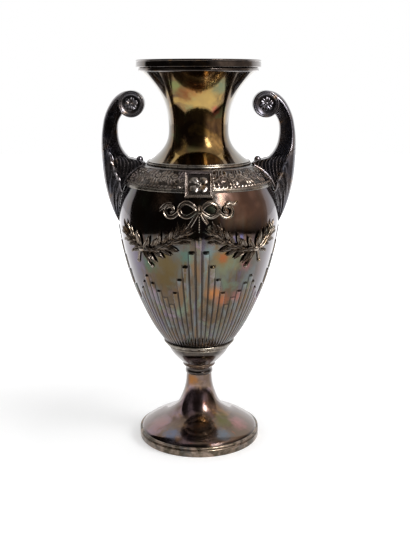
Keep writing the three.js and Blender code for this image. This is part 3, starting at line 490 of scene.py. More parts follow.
# The ovals' middle over the band's foot, half their height, and their pitch over half their length
OVAL_MIDDLE, OVAL_HALF, OVAL_PITCH = 1.3 * MM, 1.1 * MM, 2.6
spring_band = turned("spring_band_stamped", [
    (cup_radius - WALL, spring_low.z),
    (bead_radius + 0.8 * MM, spring_low.z),
    *flowing([
        (bead_radius + 1.2 * MM, spring_low.z + 0.1 * MM),
        (spring_radius - 1.2 * MM, spring_high.z - 1.5 * MM),
    ], 8),
    *arc((spring_radius - 0.5 * MM, spring_high.z - 0.7 * MM), 0.5 * MM, 0.7 * MM, -70, 90, 6),
    (cup_radius - WALL, spring_high.z),
], facets=SPRING_OVALS * FACETS_PER_OVAL)
azimuth, radius, height = places(spring_band)
oval = ((azimuth / 360 * SPRING_OVALS) % 1 - 0.5) * OVAL_PITCH
up = (height - (spring_low.z + OVAL_MIDDLE)) / OVAL_HALF
raise_relief(spring_band, np.where(radius > bead_radius, dome(oval, up), 0), SPRING_RELIEF)
grey = plate(
    "worn_grey_plate", (148, 140, 128),
    clouds=[
        ((112, 104, 96), 10, 0.5, 0.14), ((126, 104, 84), 18, 0.38, 0.08), ((112, 110, 108), 26, 0.4, 0.1),
    ],
    roughness=(0.2, 0.36),
)
fit(cup_bead, grey, "cup_bead")
fit(spring_band, grey, "spring_band")


# Bowl
# Spun from sheet, then chased from outside with 72 reeds that narrow towards the foot. Their tops
# step down from a tall reed to a valley and climb part of the way again, four times round. The wall
# above is plain, and its tarnish is stained gold, green, orange and rose at the front.

REEDS = 72
REED_TALLEST = 112.3 * MM
REED_STEP_DOWN = 12.9 * MM
REED_STEP_UP = 6.5 * MM
REEDS_TO_VALLEY = 5
REED_RELIEF = 1.35 * MM
FACETS_PER_REED = 12
# Share of its pitch that a reed fills, and the half width from which it stands up in full
REED_WIDTH = 0.76
REED_FULL_WIDTH = 2.3 * MM
# How a reed rounds off: its foot's height, its top's share of a half width, and how full it stays
REED_FOOT = 1.6 * MM
REED_END = 1 / 3
REED_FULLNESS = 1.8
# The bowl's rows lie closer together where the reeds end
REED_TOPS_LOW, REED_TOPS_HIGH = 144 * MM, 212.5 * MM
CLOSE_ROWS, WIDE_ROWS = 0.85 * MM, 4 * MM
BOWL_STEPS = 600
# The plain wall starts this many half widths over a reed's top, and holds dirt by a mark between that of
# a groove, 0, and that of a crest, 1. Up to there the wall is marked like a groove, a painted shade
# that draws a dark line over each reed's top.
SHADE_OVER_REED_TOPS = 0.4
PLAIN_WALL_MARK = 0.36
bowl_low, bowl_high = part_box("bowl")
bowl_height = bowl_high.z - bowl_low.z
bowl_foot, bowl_widest, bowl_mouth = 32.4 * MM, 74.3 * MM, 67.6 * MM
BOWL_LOWER = [
    (0, 0), (0.117, 0.27), (0.256, 0.51), (0.396, 0.706), (0.543, 0.854), (0.683, 0.957), (0.795, 1),
]
BOWL_UPPER = [(0.91, 0.3), (1, 1)]
bowl_curve = flowing([
    *spanned(BOWL_LOWER, bowl_low.z, bowl_height, bowl_foot, bowl_widest),
    *spanned(BOWL_UPPER, bowl_low.z, bowl_height, bowl_widest, bowl_mouth),
], BOWL_STEPS)
bowl_face = [bowl_curve[0]]
for point in bowl_curve[1:-1]:
    rows = CLOSE_ROWS if REED_TOPS_LOW < point[1] < REED_TOPS_HIGH else WIDE_ROWS
    if point[1] - bowl_face[-1][1] > rows:
        bowl_face.append(point)
bowl_face.append(bowl_curve[-1])
bowl = turned("bowl_chased", [*bowl_face, *set_in(bowl_face, WALL)[::8]], facets=REEDS * FACETS_PER_REED)


def reed_top(number):
    """Height of the top of each reed, counted from the tall one at the front."""
    group = REEDS // 4
    away = np.minimum(number % group, group - number % group)
    down = np.minimum(away, REEDS_TO_VALLEY) * REED_STEP_DOWN
    up = np.maximum(away - REEDS_TO_VALLEY, 0) * REED_STEP_UP
    return bowl_low.z + REED_TALLEST - down + up


def radius_at(outline, height):
    """Radius at a height of an outline that climbs."""
    radii, heights = zip(*outline)
    return np.interp(height, heights, radii)


azimuth, radius, height = places(bowl)
number = np.round(azimuth / 360 * REEDS)
across = (azimuth / 360 * REEDS - number) * 2 / REED_WIDTH
half_width = radius * math.pi / REEDS * REED_WIDTH
below_top = (reed_top(number) - height) / half_width
end = np.clip(1 - below_top / REED_END, 0, 1)
lower_end = np.clip(1 - (height - bowl_low.z) / REED_FOOT, 0, 1)
round_off = across ** 2 + end ** 2 + lower_end ** 2
crest = np.sqrt(np.clip(1 - round_off ** REED_FULLNESS, 0, 1)) * (below_top > 0)
outside = radius > radius_at(bowl_face, height) - WALL / 2
crest = np.where(outside, crest * np.clip(half_width / REED_FULL_WIDTH, 0, 1), 0)
# Just over each reed's top the mark is 0, which paints a dark line of shade there
raise_relief(bowl, crest, REED_RELIEF, np.where(below_top < -SHADE_OVER_REED_TOPS, PLAIN_WALL_MARK, crest))


def around(azimuth, radius, height):
    """A point at an azimuth in degrees from the front, towards +X."""
    angle = math.radians(azimuth)
    return Vector((radius * math.sin(angle), -radius * math.cos(angle), height))


def on_bowl(azimuth, height, lift=0.0):
    """A point on the bowl's wall, or proud of it."""
    return around(azimuth, float(radius_at(bowl_face, height)) + lift, height)


# Colour, azimuth from the front in degrees, height and width in millimetres, the widest first
BOWL_STAINS = [
    ((116, 86, 72), 40, 232, 46), ((150, 122, 112), 22, 246, 12), ((60, 44, 34), -30, 232, 44),
    ((108, 90, 50), -22, 184, 21), ((104, 84, 42), -28, 172, 15), ((78, 108, 82), -40, 184, 11),
    ((84, 116, 104), -9, 194, 8), ((110, 96, 128), -56, 186, 17), ((124, 130, 102), 19, 186, 18),
    ((112, 134, 132), 8, 198, 8), ((136, 106, 58), 16, 193, 12), ((168, 92, 48), 17.5, 192, 6),
    ((148, 92, 90), 38, 184, 9), ((96, 92, 84), 46, 186, 10), ((176, 112, 58), 12, 160, 9),
    ((160, 96, 62), 20, 152, 9), ((146, 98, 88), 33, 154, 8), ((110, 112, 170), 28, 208, 7),
]
bowl_plate = plate(
    "stained_bowl_plate", (106, 98, 84),
    clouds=[
        ((86, 70, 52), 26, 0.5, 0.1), ((112, 124, 102), 22, 0.42, 0.06), ((136, 116, 128), 34, 0.4, 0.05),
        ((150, 108, 60), 24, 0.33, 0.05),
    ],
    streaks=[
        ((106, 112, 112), 9, 0.46, 0.12), ((112, 90, 66), 8, 0.44, 0.1), ((98, 88, 104), 10, 0.38, 0.1),
    ],
    stains=[(tint, on_bowl(turn, up * MM) / MM, width) for tint, turn, up, width in BOWL_STAINS],
    # edge is the colour of a painted pale reflection at low angles
    recess=(28, 22, 18), edge=(110, 105, 113), roughness=(0.07, 0.14), scratch=0.08,
)
fit(bowl, bowl_plate, "bowl")


# Fillet wire, shoulder and neck bead
# A flat grey wire hides the seam at the top of the bowl. Over it the shoulder is cast with a
# frieze of scrolling leaves above a row of berries, and a double bead closes it under the neck.

fillet_low, fillet_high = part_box("fillet_wire")
fillet_radius = 68.5 * MM
fillet = turned("fillet_wire_drawn", [
    (bowl_mouth - WALL, fillet_low.z),
    *arc((fillet_radius - 0.5 * MM, fillet_low.z + 0.6 * MM), 0.5 * MM, 0.6 * MM, -90, 0, 4),
    *arc((fillet_radius - 0.5 * MM, fillet_high.z - 0.6 * MM), 0.5 * MM, 0.6 * MM, 0, 90, 4),
    (bowl_mouth - WALL, fillet_high.z),
])
fit(fillet, grey, "fillet_wire")

shoulder_low, shoulder_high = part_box("shoulder")
shoulder_height = shoulder_high.z - shoulder_low.z
shoulder_top = 50 * MM
neck_ledge = 43 * MM
SHOULDER_SHAPE = [(0, 1), (0.3, 0.8), (0.6, 0.5), (0.87, 0.2), (1, 0)]
shoulder_face = flowing(
    spanned(SHOULDER_SHAPE, shoulder_low.z, shoulder_height, shoulder_top, bowl_mouth), 40)
shoulder = turned("shoulder_cast", [
    *shoulder_face,
    (neck_ledge, shoulder_high.z),
    (neck_ledge, shoulder_high.z - WALL),
    *set_in(shoulder_face, WALL)[::6],
    (bowl_mouth - WALL, shoulder_low.z),
], facets=720)

FRIEZE_WAVES = 22
FRIEZE_BERRIES = 108
FRIEZE_RELIEF = 0.8 * MM
# Shares of the frieze's height: the stalk's middle and its swing, and the middle of the berries
STALK_AT = 0.56
STALK_SWING = 0.13
BERRIES_AT = 0.1


def band_mask(up, middle, half):
    """A line or band round the frieze: 1 at its middle, falling to 0 at its edges."""
    return np.clip(1 - np.abs(up - middle) / half, 0, 1)


def frieze(azimuth, up):
    """How far the frieze stands up: a winding stalk with slanted leaves, flowers in its bends, and
    a row of berries below."""
    wave = azimuth / 360 * FRIEZE_WAVES
    stalk_at = STALK_AT + STALK_SWING * np.sin(2 * math.pi * wave)
    away = np.abs(up - stalk_at)
    slant = 0.5 + 0.5 * np.cos(2 * math.pi * (wave * 5 - away * 2.4))
    leaves = slant ** 1.3 * np.clip((0.36 - away) / 0.1, 0, 1) * np.clip(away / 0.08, 0, 1)
    bend = np.floor(wave * 2)
    side = np.where(bend % 2 == 0, -1, 1)
    reach = np.hypot((wave * 2 - bend - 0.5) * 7.4, (up - STALK_AT - side * 0.08) * 21)
    curl = np.abs((reach / 1.7) % 1 - 0.5) * 2 * (reach < 2.6)
    leaves = np.where(reach < 2.9, curl, leaves)
    berry_at = (azimuth / 360 * FRIEZE_BERRIES) % 1 - 0.5
    berries = dome(berry_at / 0.36, (up - BERRIES_AT) / 0.055)
    lines = band_mask(up, 0.93, 0.025) + band_mask(up, 0.03, 0.02)
    field = np.clip((up - 0.17) / 0.03, 0, 1) * np.clip((0.9 - up) / 0.03, 0, 1)
    stalk = band_mask(up, stalk_at, 0.05)
    return np.maximum(np.maximum(stalk, leaves) * field, np.maximum(berries, lines * 0.8))


azimuth, radius, height = places(shoulder)
up = (height - shoulder_low.z) / shoulder_height
outside = (radius > radius_at(shoulder_face, height) - WALL / 2) & (up > 0.01) & (up < 0.97)
raise_relief(shoulder, np.where(outside, frieze(azimuth, up), 0), FRIEZE_RELIEF)
frieze_plate = plate(
    "frieze_plate", (162, 151, 141),
    clouds=[((112, 98, 86), 12, 0.48, 0.12), ((140, 128, 128), 20, 0.42, 0.1)],
    recess=(24, 19, 16), roughness=(0.16, 0.28),
)
fit(shoulder, frieze_plate, "shoulder")

neck_bead_low, neck_bead_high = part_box("neck_bead")
neck_bead_radius = 48.5 * MM
big, small = 1.1 * MM, 0.6 * MM
neck_bead = turned("neck_bead_drawn", [
    (neck_ledge, neck_bead_low.z),
    *arc((neck_bead_radius - big, neck_bead_low.z + big), big, big, -90, 70, 8),
    *arc((neck_bead_radius - 1.5 * MM, neck_bead_high.z - small), small, small, -60, 90, 6),
    (neck_ledge, neck_bead_high.z),
])
fit(neck_bead, grey, "neck_bead")


# Neck, rim wire and rim
# The neck is spun, with a narrow waist and a wide flare. A wire runs under its lip, and over the
# lip a heavy rim is rolled. Gold, olive and orange tarnish lies on the flare.

neck_low, neck_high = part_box("neck")
wire_low, wire_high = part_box("rim_wire")
rim_low, rim_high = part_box("rim")
neck_height = neck_high.z - neck_low.z
neck_foot, neck_waist, neck_lip = 45.6 * MM, 27.3 * MM, 51.6 * MM
waist_height = 29.6 * MM
NECK_ROWS = 56


def neck_radius(height):
    """Radius of the neck over its foot: it flares by a power of the way from the waist."""
    if height < waist_height:
        return neck_waist + (neck_foot - neck_waist) * (1 - height / waist_height) ** 2.6
    way = (height - waist_height) / (neck_height - waist_height)
    return neck_waist + (neck_lip - neck_waist) * way ** 2.35


neck_levels = [neck_height * i / NECK_ROWS for i in range(NECK_ROWS + 1)]
neck_face = [(neck_radius(level), neck_low.z + level) for level in neck_levels]
neck = turned("neck_spun", [
    *neck_face,
    *set_in(neck_face, WALL)[1:-1:2],
    (neck_ledge, neck_low.z),
])
gold = plate(
    "gold_stained_plate", (118, 92, 58),
    clouds=[
        ((78, 58, 40), 34, 0.46, 0.1), ((156, 126, 70), 22, 0.42, 0.06), ((112, 114, 76), 16, 0.38, 0.05),
    ],
    stains=[
        ((176, 146, 84), (2, -33, 330), 26), ((122, 132, 76), (-20, -35, 337), 10),
        ((118, 66, 30), (-12, -34, 331), 11), ((164, 104, 54), (-3, -39, 336), 11),
        ((104, 118, 92), (20, -35, 337), 12), ((156, 84, 66), (15, -25, 316), 6),
        ((178, 146, 92), (12, -27, 284), 16), ((110, 104, 62), (-4, -30, 282), 9),
    ],
    # edge is the colour of a painted pale reflection at low angles
    edge=(132, 128, 122), roughness=(0.06, 0.12), scratch=0.1,
)
fit(neck, gold, "neck")

mouth_radius = neck_lip - WALL
rim_wire = drawn_wire("rim_wire_drawn", mouth_radius, wire_low, wire_high, 1.95 * MM, 12)
rim_radius = rim_high.x
rim = turned("rim_rolled", [
    (mouth_radius, rim_low.z),
    (rim_radius - 1.4 * MM, rim_low.z),
    *arc((rim_radius - 0.7 * MM, rim_low.z + 0.7 * MM), 0.7 * MM, 0.7 * MM, -90, 0, 4),
    (rim_radius - 0.1 * MM, rim_high.z - 2.3 * MM),
    (rim_radius - 0.6 * MM, rim_high.z - 2.0 * MM),
    *arc((rim_radius - 0.9 * MM, rim_high.z - 0.9 * MM), 0.9 * MM, 0.9 * MM, -30, 90, 6),
    *arc((mouth_radius + 1.5 * MM, rim_high.z - 1.5 * MM), 1.5 * MM, 1.5 * MM, 90, 180, 6),
])
fit(rim_wire, black, "rim_wire")
fit(rim, black, "rim")


# Handles, their leaves and balls
# Each is cast: an outer roll and a fluted face sweep up from a tail on the bowl to a volute. An
# acanthus leaf clasps the tail and hooks at its tip, and a ball stands on the toe by the neck.

SEAM = 0.3 * MM
# Outer edge (out, up), inner edge (out, up) and depth of each section, from the tail to the volute
HANDLE_ROWS = [
    (74.8, 212.8, 72.5, 212.4, 4.2), (79.2, 222, 69, 221, 10.9), (84, 236, 64, 233, 17.7),
    (87.2, 250, 58, 246, 22.9), (88.8, 264, 49.5, 262.5, 26), (89.3, 275, 50.4, 269.4, 25.5),
    (89.3, 283, 63.6, 273, 22.4), (89, 290, 71, 282, 19.7), (88.2, 298, 73.8, 293, 18),
    (86.2, 308.5, 73.4, 303.5, 17.6), (82.6, 317.5, 70.4, 310.5, 17.6), (77, 326, 66, 315.5, 17.6),
    (69.4, 331.6, 63, 318.5, 17.6), (61.4, 333.3, 60, 321.5, 15.8),
]
# How far round the section the leaf reaches at each row: 0 is the outer side, 1 the inner
LEAF_WRAP = [1.0, 1.0, 0.98, 0.66, 0.45, 0.38, 0.38]
LEAF_TOP = 5.75
LEAF_SHEET = 1.1 * MM
# The section, in shares of its half width and half depth: the roll's middle, half width and rise,
# then where the fluted face starts, how far in it runs, how high it starts and how far it falls
ROLL_MIDDLE, ROLL_HALF, ROLL_RISE = 0.55, 0.45, 0.95
FACE_START, FACE_RUN, FACE_RISE, FACE_FALL = 0.43, 1.3, 0.84, 0.28
ROLL_BEAD = [(0.53, 0.83), (0.51, 0.9), (0.48, 0.93), (0.45, 0.9), (0.43, 0.83)]
FLUTES = 8
FLUTE_DEPTH = 0.13
FLUTE_RIDGE = 0.012


def face_line():
    """Half of the handle's section: a roll, a fine bead, the flutes and a rounded inner side."""
    points = [
        (ROLL_MIDDLE + ROLL_HALF * math.cos(a), ROLL_RISE * math.sin(a))
        for a in np.linspace(0, math.pi / 2, 11)
    ]
    points += ROLL_BEAD
    for flute in range(FLUTES):
        for part in (0.1, 0.2, 0.35, 0.5, 0.65, 0.8, 0.9, 1.0):
            down = (flute + part) / FLUTES
            hollow = FLUTE_DEPTH * math.sin(math.pi * (part - 0.1) / 0.8) if part < 1 else -FLUTE_RIDGE
            points.append((FACE_START - FACE_RUN * down, FACE_RISE - FACE_FALL * down ** 2 - hollow))
    points += [(-0.87 - 0.13 * math.sin(a), 0.56 * math.cos(a)) for a in np.linspace(0.3, math.pi / 2, 5)]
    return points


def handle_frame(row):
    """Middle, direction across, half width and half depth of the handle at a place in its rows."""
    out_x, out_z, in_x, in_z, depth = [v * MM for v in along(HANDLE_ROWS, row)]
    across = Vector((out_x - in_x, 0, out_z - in_z))
    return Vector((out_x + in_x, 0, out_z + in_z)) / 2, across.normalized(), across.length / 2, depth / 2


def from_grid(name, columns, rows, place, capped=False):
    """A grid primitive whose vertices are put at place(column, row), which also says how far each
    stands up. Its sides meet in a ring, and its ends are capped or come together."""
    piece = begin(name, bpy.ops.mesh.primitive_grid_add, x_subdivisions=columns, y_subdivisions=rows, size=2)
    weights = []
    for vertex in piece.data.vertices:
        column = round((vertex.co.x + 1) / 2 * columns)
        row = round((vertex.co.y + 1) / 2 * rows)
        vertex.co, raised = place(column, row)
        weights.append(raised)
    keep_raised(piece, weights)
    edit_all()
    bpy.ops.mesh.remove_doubles(threshold=0.002 * MM)
    if capped:
        bpy.ops.mesh.select_all(action="DESELECT")
        bpy.ops.mesh.select_non_manifold()
        bpy.ops.mesh.edge_face_add()
    close_up()
    return piece


def carve(piece, other, solver="EXACT"):
    """Cuts another solid from a piece, and removes the other."""
    cut = piece.modifiers.new("cut", "BOOLEAN")
    cut.operation, cut.object, cut.solver = "DIFFERENCE", other, solver
    only(piece)
    bpy.ops.object.modifier_apply(modifier="cut")
    bpy.data.objects.remove(other)


def copy_of(piece, name):
    """A copy with its own mesh, selected alone."""
    only(piece)
    bpy.ops.object.duplicate()
    twin = bpy.context.object
    twin.name = twin.data.name = name
    return twin


def mirrored(piece, name):
    """A copy on the left of the vase."""
    twin = copy_of(piece, name)
    edit_all()
    bpy.ops.transform.resize(value=(-1, 1, 1), center_override=(0, 0, 0))
    bpy.ops.mesh.normals_make_consistent(inside=False)
    bpy.ops.object.mode_set(mode="OBJECT")
    return twin


# Share of the way round from the outer side to the inner one that the roll takes
ROLL_SHARE = 0.35


def leaf_wrap(row):
    """How far round from the outer side the leaf reaches, with its lobes."""
    reach = along([(w,) for w in LEAF_WRAP], row)[0]
    return reach * (0.94 + 0.08 * abs(math.sin(row * 3.4)))


def hull(way):
    """The smooth line over the roll and the flutes at a share of the way round the section."""
    if way < ROLL_SHARE:
        angle = math.pi / 2 * way / ROLL_SHARE
        return ROLL_MIDDLE + ROLL_HALF * math.cos(angle), 0.96 * math.sin(angle)
    inward = (way - ROLL_SHARE) / (1 - ROLL_SHARE)
    return ROLL_MIDDLE - 1.5 * inward, 0.96 - 0.07 * min(inward / 0.15, 1) - FACE_FALL * inward ** 2


def leaf_top(edge):
    """The row where the leaf ends: it is level over the roll, and a tip rises at each side."""
    return LEAF_TOP + 0.22 * max(0, edge - 0.7) / 0.3


def handle_inset(row, x, y):
    """How deep the body lies under the leaf at a point (x, y) of its section."""
    if row > LEAF_TOP - 0.02:
        return 0
    if x > ROLL_MIDDLE:
        turn = math.atan2(abs(y) / ROLL_RISE, (x - ROLL_MIDDLE) / ROLL_HALF)
        way = ROLL_SHARE * turn / (math.pi / 2)
    else:
        way = ROLL_SHARE + (1 - ROLL_SHARE) * (ROLL_MIDDLE - x) / 1.5
    return (LEAF_SHEET + SEAM) * min(max((leaf_wrap(min(row, 6)) + 0.06 - way) / 0.06, 0), 1)


half_section = face_line()
section = half_section + [(x, -y) for x, y in half_section[::-1]][1:-1]
HANDLE_STEPS = 78
LEAST_HALF = 0.3 * MM
last_row = len(HANDLE_ROWS) - 1


def body_place(column, row):
    """A vertex of the handle's body."""
    x, y = section[column % len(section)]
    row = last_row * row / HANDLE_STEPS
    middle, across, half, depth = handle_frame(row)
    inset = handle_inset(row, x, y)
    down = (FACE_START - x) / FACE_RUN
    flute = FACE_RISE - FACE_FALL * down ** 2 - abs(y) if 0 < down <= 1 else 0.0
    aside = Vector((0, y * max(depth - inset, LEAST_HALF), 0))
    return middle + across * x * max(half - inset, LEAST_HALF) + aside, 1 - 0.8 * flute / FLUTE_DEPTH


# The heights between which the ground for handles and plaques is needed
GROUND_LOW, GROUND_HIGH = 206 * MM, 290 * MM


def ground():
    """The bowl, shoulder and neck as one solid, a seam's width proud, to fit cast pieces to."""
    wall = [
        *[p for p in bowl_curve if p[1] > GROUND_LOW][::16],
        (fillet_radius, fillet_low.z), (fillet_radius, fillet_high.z),
        *shoulder_face[::6],
        (neck_bead_radius, neck_bead_low.z), (neck_bead_radius, neck_bead_high.z),
        *[p for p in neck_face if p[1] < GROUND_HIGH][2::4],
    ]
    outline = [(0, wall[0][1]), *[(r + SEAM, z) for r, z in wall], (0, wall[-1][1])]
    return turned("ground", outline, facets=128, closed=False)


volute_low, volute_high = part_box("volute_rosette_right_front")
volute = Vector(((volute_low.x + volute_high.x) / 2, 0, (volute_low.z + volute_high.z) / 2))
volute_floor = -volute_high.y + 0.3 * MM
volute_radius = 11.9 * MM
volute_face = 9.4 * MM


def put(piece, place=(0, 0, 0), turn=(0, 0, 0)):
    """Turns a piece about the axes and moves it to a place."""
    only(piece)
    piece.location, piece.rotation_euler = place, turn
    settle()


drum_half = [
    (volute_radius - 4.2 * MM, volute_floor),
    (volute_radius - 3.3 * MM, volute_floor + 0.5 * MM),
    *arc((volute_radius - 2.5 * MM, volute_face - 0.8 * MM), 0.5 * MM, 0.5 * MM, 150, 0, 5),
    (volute_radius - 1.9 * MM, volute_face - 1.1 * MM),
    *arc((volute_radius - 1.1 * MM, volute_face - 1.1 * MM), 1.1 * MM, 1.1 * MM, 160, 0, 8),
]
drum_outline = drum_half + [(r, -z) for r, z in drum_half[::-1]]
handle = from_grid("handle_right_cast", len(section), HANDLE_STEPS, body_place, capped=True)
carve(handle, ground())
drum = turned("drum", [(0, volute_floor), *drum_outline, (0, -volute_floor)], facets=96, closed=False)
keep_raised(drum, 0.05 + 0.35 * (places(drum)[1] > volute_radius - 3.4 * MM))
put(drum, volute, (math.pi / 2, 0, 0))
# The rolled edge along the foot of the handle (out, up)
SEAT_BEAD = [(50.6, 266.4), (56.5, 263.4), (61.5, 259.4), (65.3, 255), (68.2, 250.4), (69.4, 247)]
SEAT_BEAD_RADIUS = 1.25 * MM
SEAT_BEAD_ASIDE = 11.6
SEAT_BEAD_STEPS = 30


def ends_near(path, way):
    """The points just ahead of and just behind a place on a path."""
    return along(path, min(way + 0.05, len(path) - 1)), along(path, max(way - 0.05, 0))


def seat_bead(face):
    """The rolled edge along the foot of the handle, on its front or its back."""
    def spot(column, row):
        way = (len(SEAT_BEAD) - 1) * row / SEAT_BEAD_STEPS
        x, z = along(SEAT_BEAD, way)
        (x1, z1), (x0, z0) = ends_near(SEAT_BEAD, way)
        across = Vector((z0 - z1, 0, x1 - x0)).normalized()
        angle = math.pi * column / 6
        middle = Vector((x * MM, -face * SEAT_BEAD_ASIDE * MM, z * MM))
        return middle + (across * math.cos(angle) + Vector((0, math.sin(angle), 0))) * SEAT_BEAD_RADIUS, 1

    return from_grid("seat_bead", 12, SEAT_BEAD_STEPS, spot, capped=True)


only(handle, drum, seat_bead(1), seat_bead(-1))
bpy.ops.object.join()

LEAF_COLUMNS = 96
LEAF_ROWS = 84
LEAF_FOOT = 0.15


def leaf_place(column, row):
    """A vertex of the leaf: veins run up from its foot to the lobes, and its tips hook out."""
    inner = column > LEAF_COLUMNS
    side = 2 * column / LEAF_COLUMNS - 1 if not inner else 3 - 2 * column / LEAF_COLUMNS
    edge = abs(side)
    ends = min(row, LEAF_ROWS - row, 1)
    row = LEAF_FOOT + (leaf_top(edge) - LEAF_FOOT) * row / LEAF_ROWS
    way = edge * leaf_wrap(row)
    middle, across, half, depth = handle_frame(row)
    x, y = hull(way)
    on_face = min(max((way - 0.26) / 0.1, 0), 1)
    vein = 0.5 + 0.5 * math.cos(way * 50 - row * 3.2)
    rib = math.exp(-((edge - 0.94) / 0.045) ** 2)
    hook = max(0, (row - LEAF_TOP + 0.3) / 0.5) ** 2 * max(0, edge - 0.6) / 0.4
    lift = (on_face * (0.65 * vein ** 1.5 - 0.3 + 0.7 * rib) + 1.2 * hook) * MM
    if inner:
        deep = ends * min((1 - edge) / 0.03, 1)
        lift = lift * (1 - deep) - LEAF_SHEET * deep
    spot = middle + across * (x * half + min(lift, 0) * (1 - on_face))
    aside = math.copysign(y * depth + lift * min(y * 3, 1), side)
    return spot + Vector((0, aside, 0)), max(vein, rib, 1 - on_face)


leaf = from_grid("handle_leaf_right_cast", 2 * LEAF_COLUMNS, LEAF_ROWS, leaf_place)
carve(leaf, ground(), "MANIFOLD")

ball_low, ball_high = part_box("handle_ball_right")
ball_radius = (ball_high.z - ball_low.z) / 2
ball = turned("handle_ball_right_turned", [
    (0, -ball_radius),
    (ball_radius * 0.75, -ball_radius),
    (ball_radius * 0.8, -ball_radius * 0.86),
    (ball_radius * 0.55, -ball_radius * 0.74),
    *arc((0, 0), ball_radius, ball_radius, -48, 76, 14),
    (ball_radius * 0.12, ball_radius * 0.9),
    (0, ball_radius * 0.9),
], facets=40, closed=False)
put(ball, (ball_low + ball_high) / 2)
keep_raised(ball, 1)

ink = plate(
    "blue_black_plate", (114, 109, 110),
    clouds=[((140, 112, 80), 12, 0.38, 0.1), ((84, 84, 92), 24, 0.5, 0.14)],
    recess=(30, 26, 26), roughness=(0.2, 0.34), scratch=0.08,
)
for piece, node in ((handle, "handle"), (leaf, "handle_leaf"), (ball, "handle_ball")):
    twin = mirrored(piece, piece.name.replace("right", "left"))
    fit(piece, ink, f"{node}_right")
    fit(twin, ink, f"{node}_left")


# Volute rosettes
# A small cast flower of six petals is soldered into the dish of each volute, on both faces of both
# handles. It is blackened like the handle, and its raised parts are worn bright.

def flat_back(level):
    """Cuts off what lies under a level of the active piece, and closes the cut."""
    edit_all()
    bpy.ops.mesh.bisect(plane_co=(0, 0, level), plane_no=(0, 0, 1), clear_inner=True, use_fill=True)
    close_up()


def petal(length, width, height, crease):
    """One cupped petal that lies outwards from the origin, with a fold down its middle."""
    made = begin("petal", bpy.ops.mesh.primitive_uv_sphere_add, segments=20, ring_count=12, radius=0.5)
    made.scale = (length, width, height)
    made.location = (length * 0.52, 0, 0)
    settle()
    for vertex in made.data.vertices:
        fold = math.exp(-(vertex.co.y / (0.16 * width)) ** 2)
        share = vertex.co.x / length
        if vertex.co.z > 0:
            vertex.co.z *= (1 - crease * fold) * (0.65 + 0.5 * share)
        vertex.co.y *= 0.55 + 0.75 * min(share, 0.8)
    flat_back(0)
    return made


def flower(name, radius, height, petals, start, crease):
    """Petals round a boss with a dimple, facing up, their back at z = 0."""
    boss = turned(name, [
        (0, -0.1 * height), (radius * 0.24, -0.1 * height), (radius * 0.26, height * 0.5),
        *arc((radius * 0.13, height * 0.75), radius * 0.12, height * 0.25, 0, 150, 6), (0, height * 0.72),
    ], facets=24, closed=False)
    pattern = petal(radius, radius * 2.3 / petals ** 0.62, height * 1.5, crease)
    parts = [copy_of(pattern, f"petal_{i}") for i in range(petals)]
    for i, part in enumerate(parts):
        put(part, turn=(0, 0, start + 2 * math.pi * i / petals))
    bpy.data.objects.remove(pattern)
    only(boss, *parts)
    bpy.ops.object.join()
    keep_raised(boss, places(boss)[2] / height)
    return boss


rosette_radius = (volute_high.x - volute_low.x) / 2
rosette_height = (volute_high.y - volute_low.y) * 0.92
rosette = flower("rosette", rosette_radius, rosette_height, petals=6, start=0.3, crease=0.55)
for side, left in (("right", 1), ("left", -1)):
    for face, front in (("front", 1), ("back", -1)):
        twin = copy_of(rosette, f"volute_rosette_{side}_{face}_cast")
        put(twin, (left * volute.x, -front * volute_floor, volute.z), (front * math.pi / 2, 0, 0))
        fit(twin, ink, f"volute_rosette_{side}_{face}")
bpy.data.objects.remove(rosette)


# Plaques and their flowers
# On the shoulder, front and back, a framed square is soldered over the fillet. It leans back
# with the frieze, and a flower of four petals set cornerwise fills it.

plaque_low, plaque_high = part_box("plaque_front")
PLAQUE_LEAN = math.radians(33.8)
PLAQUE_LENGTH = 24.3 * MM
PLAQUE_DEPTH = 6 * MM
# Insets (width, rise) from the edge inwards, in millimetres: frame, step, ledge, bead and sunk field
PLAQUE_INSETS = [(0.8, 0), (0.4, -0.4), (0.5, 0), (0.4, 0.4), (0.5, -1.6)]
FLOWER_RADIUS, FLOWER_HEIGHT, FLOWER_SUNK = 9.1 * MM, 2.2 * MM, 1.5 * MM
plaque_width = plaque_high.x - plaque_low.x
corner = Vector((0, plaque_low.y, plaque_high.z - math.cos(PLAQUE_LEAN) * PLAQUE_LENGTH))
upward = Vector((0, math.sin(PLAQUE_LEAN), math.cos(PLAQUE_LEAN)))
outward = Vector((0, -math.cos(PLAQUE_LEAN), math.sin(PLAQUE_LEAN)))
plaque_middle = corner + upward * PLAQUE_LENGTH / 2


def pick_faces(piece, wanted):
    """Opens the active piece in edit mode with the faces selected whose normal is wanted."""
    bpy.ops.object.mode_set(mode="EDIT")
    bpy.ops.mesh.select_mode(type="FACE")
    bpy.ops.mesh.select_all(action="DESELECT")
    bpy.ops.object.mode_set(mode="OBJECT")
    for face in piece.data.polygons:
        face.select = wanted(face.normal)
    bpy.ops.object.mode_set(mode="EDIT")


def plaque(name):
    """A block whose face is inset to a flat frame, a fine bead in it and a sunk field."""
    made = begin(name, bpy.ops.mesh.primitive_cube_add, size=1, location=(0, 0, -PLAQUE_DEPTH / 2),
                 scale=(plaque_width, PLAQUE_LENGTH, PLAQUE_DEPTH))
    settle()
    pick_faces(made, lambda normal: normal.z > 0.9)
    for width, rise in PLAQUE_INSETS:
        bpy.ops.mesh.inset(thickness=width * MM, depth=rise * MM)
    bpy.ops.object.mode_set(mode="OBJECT")
    bevel = made.modifiers.new("soft_edges", "BEVEL")
    bevel.width, bevel.segments, bevel.limit_method = 0.16 * MM, 2, "ANGLE"
    only(made)
    bpy.ops.object.modifier_apply(modifier="soft_edges")
    keep_raised(made, places(made)[2] > -0.5 * MM)
    return made


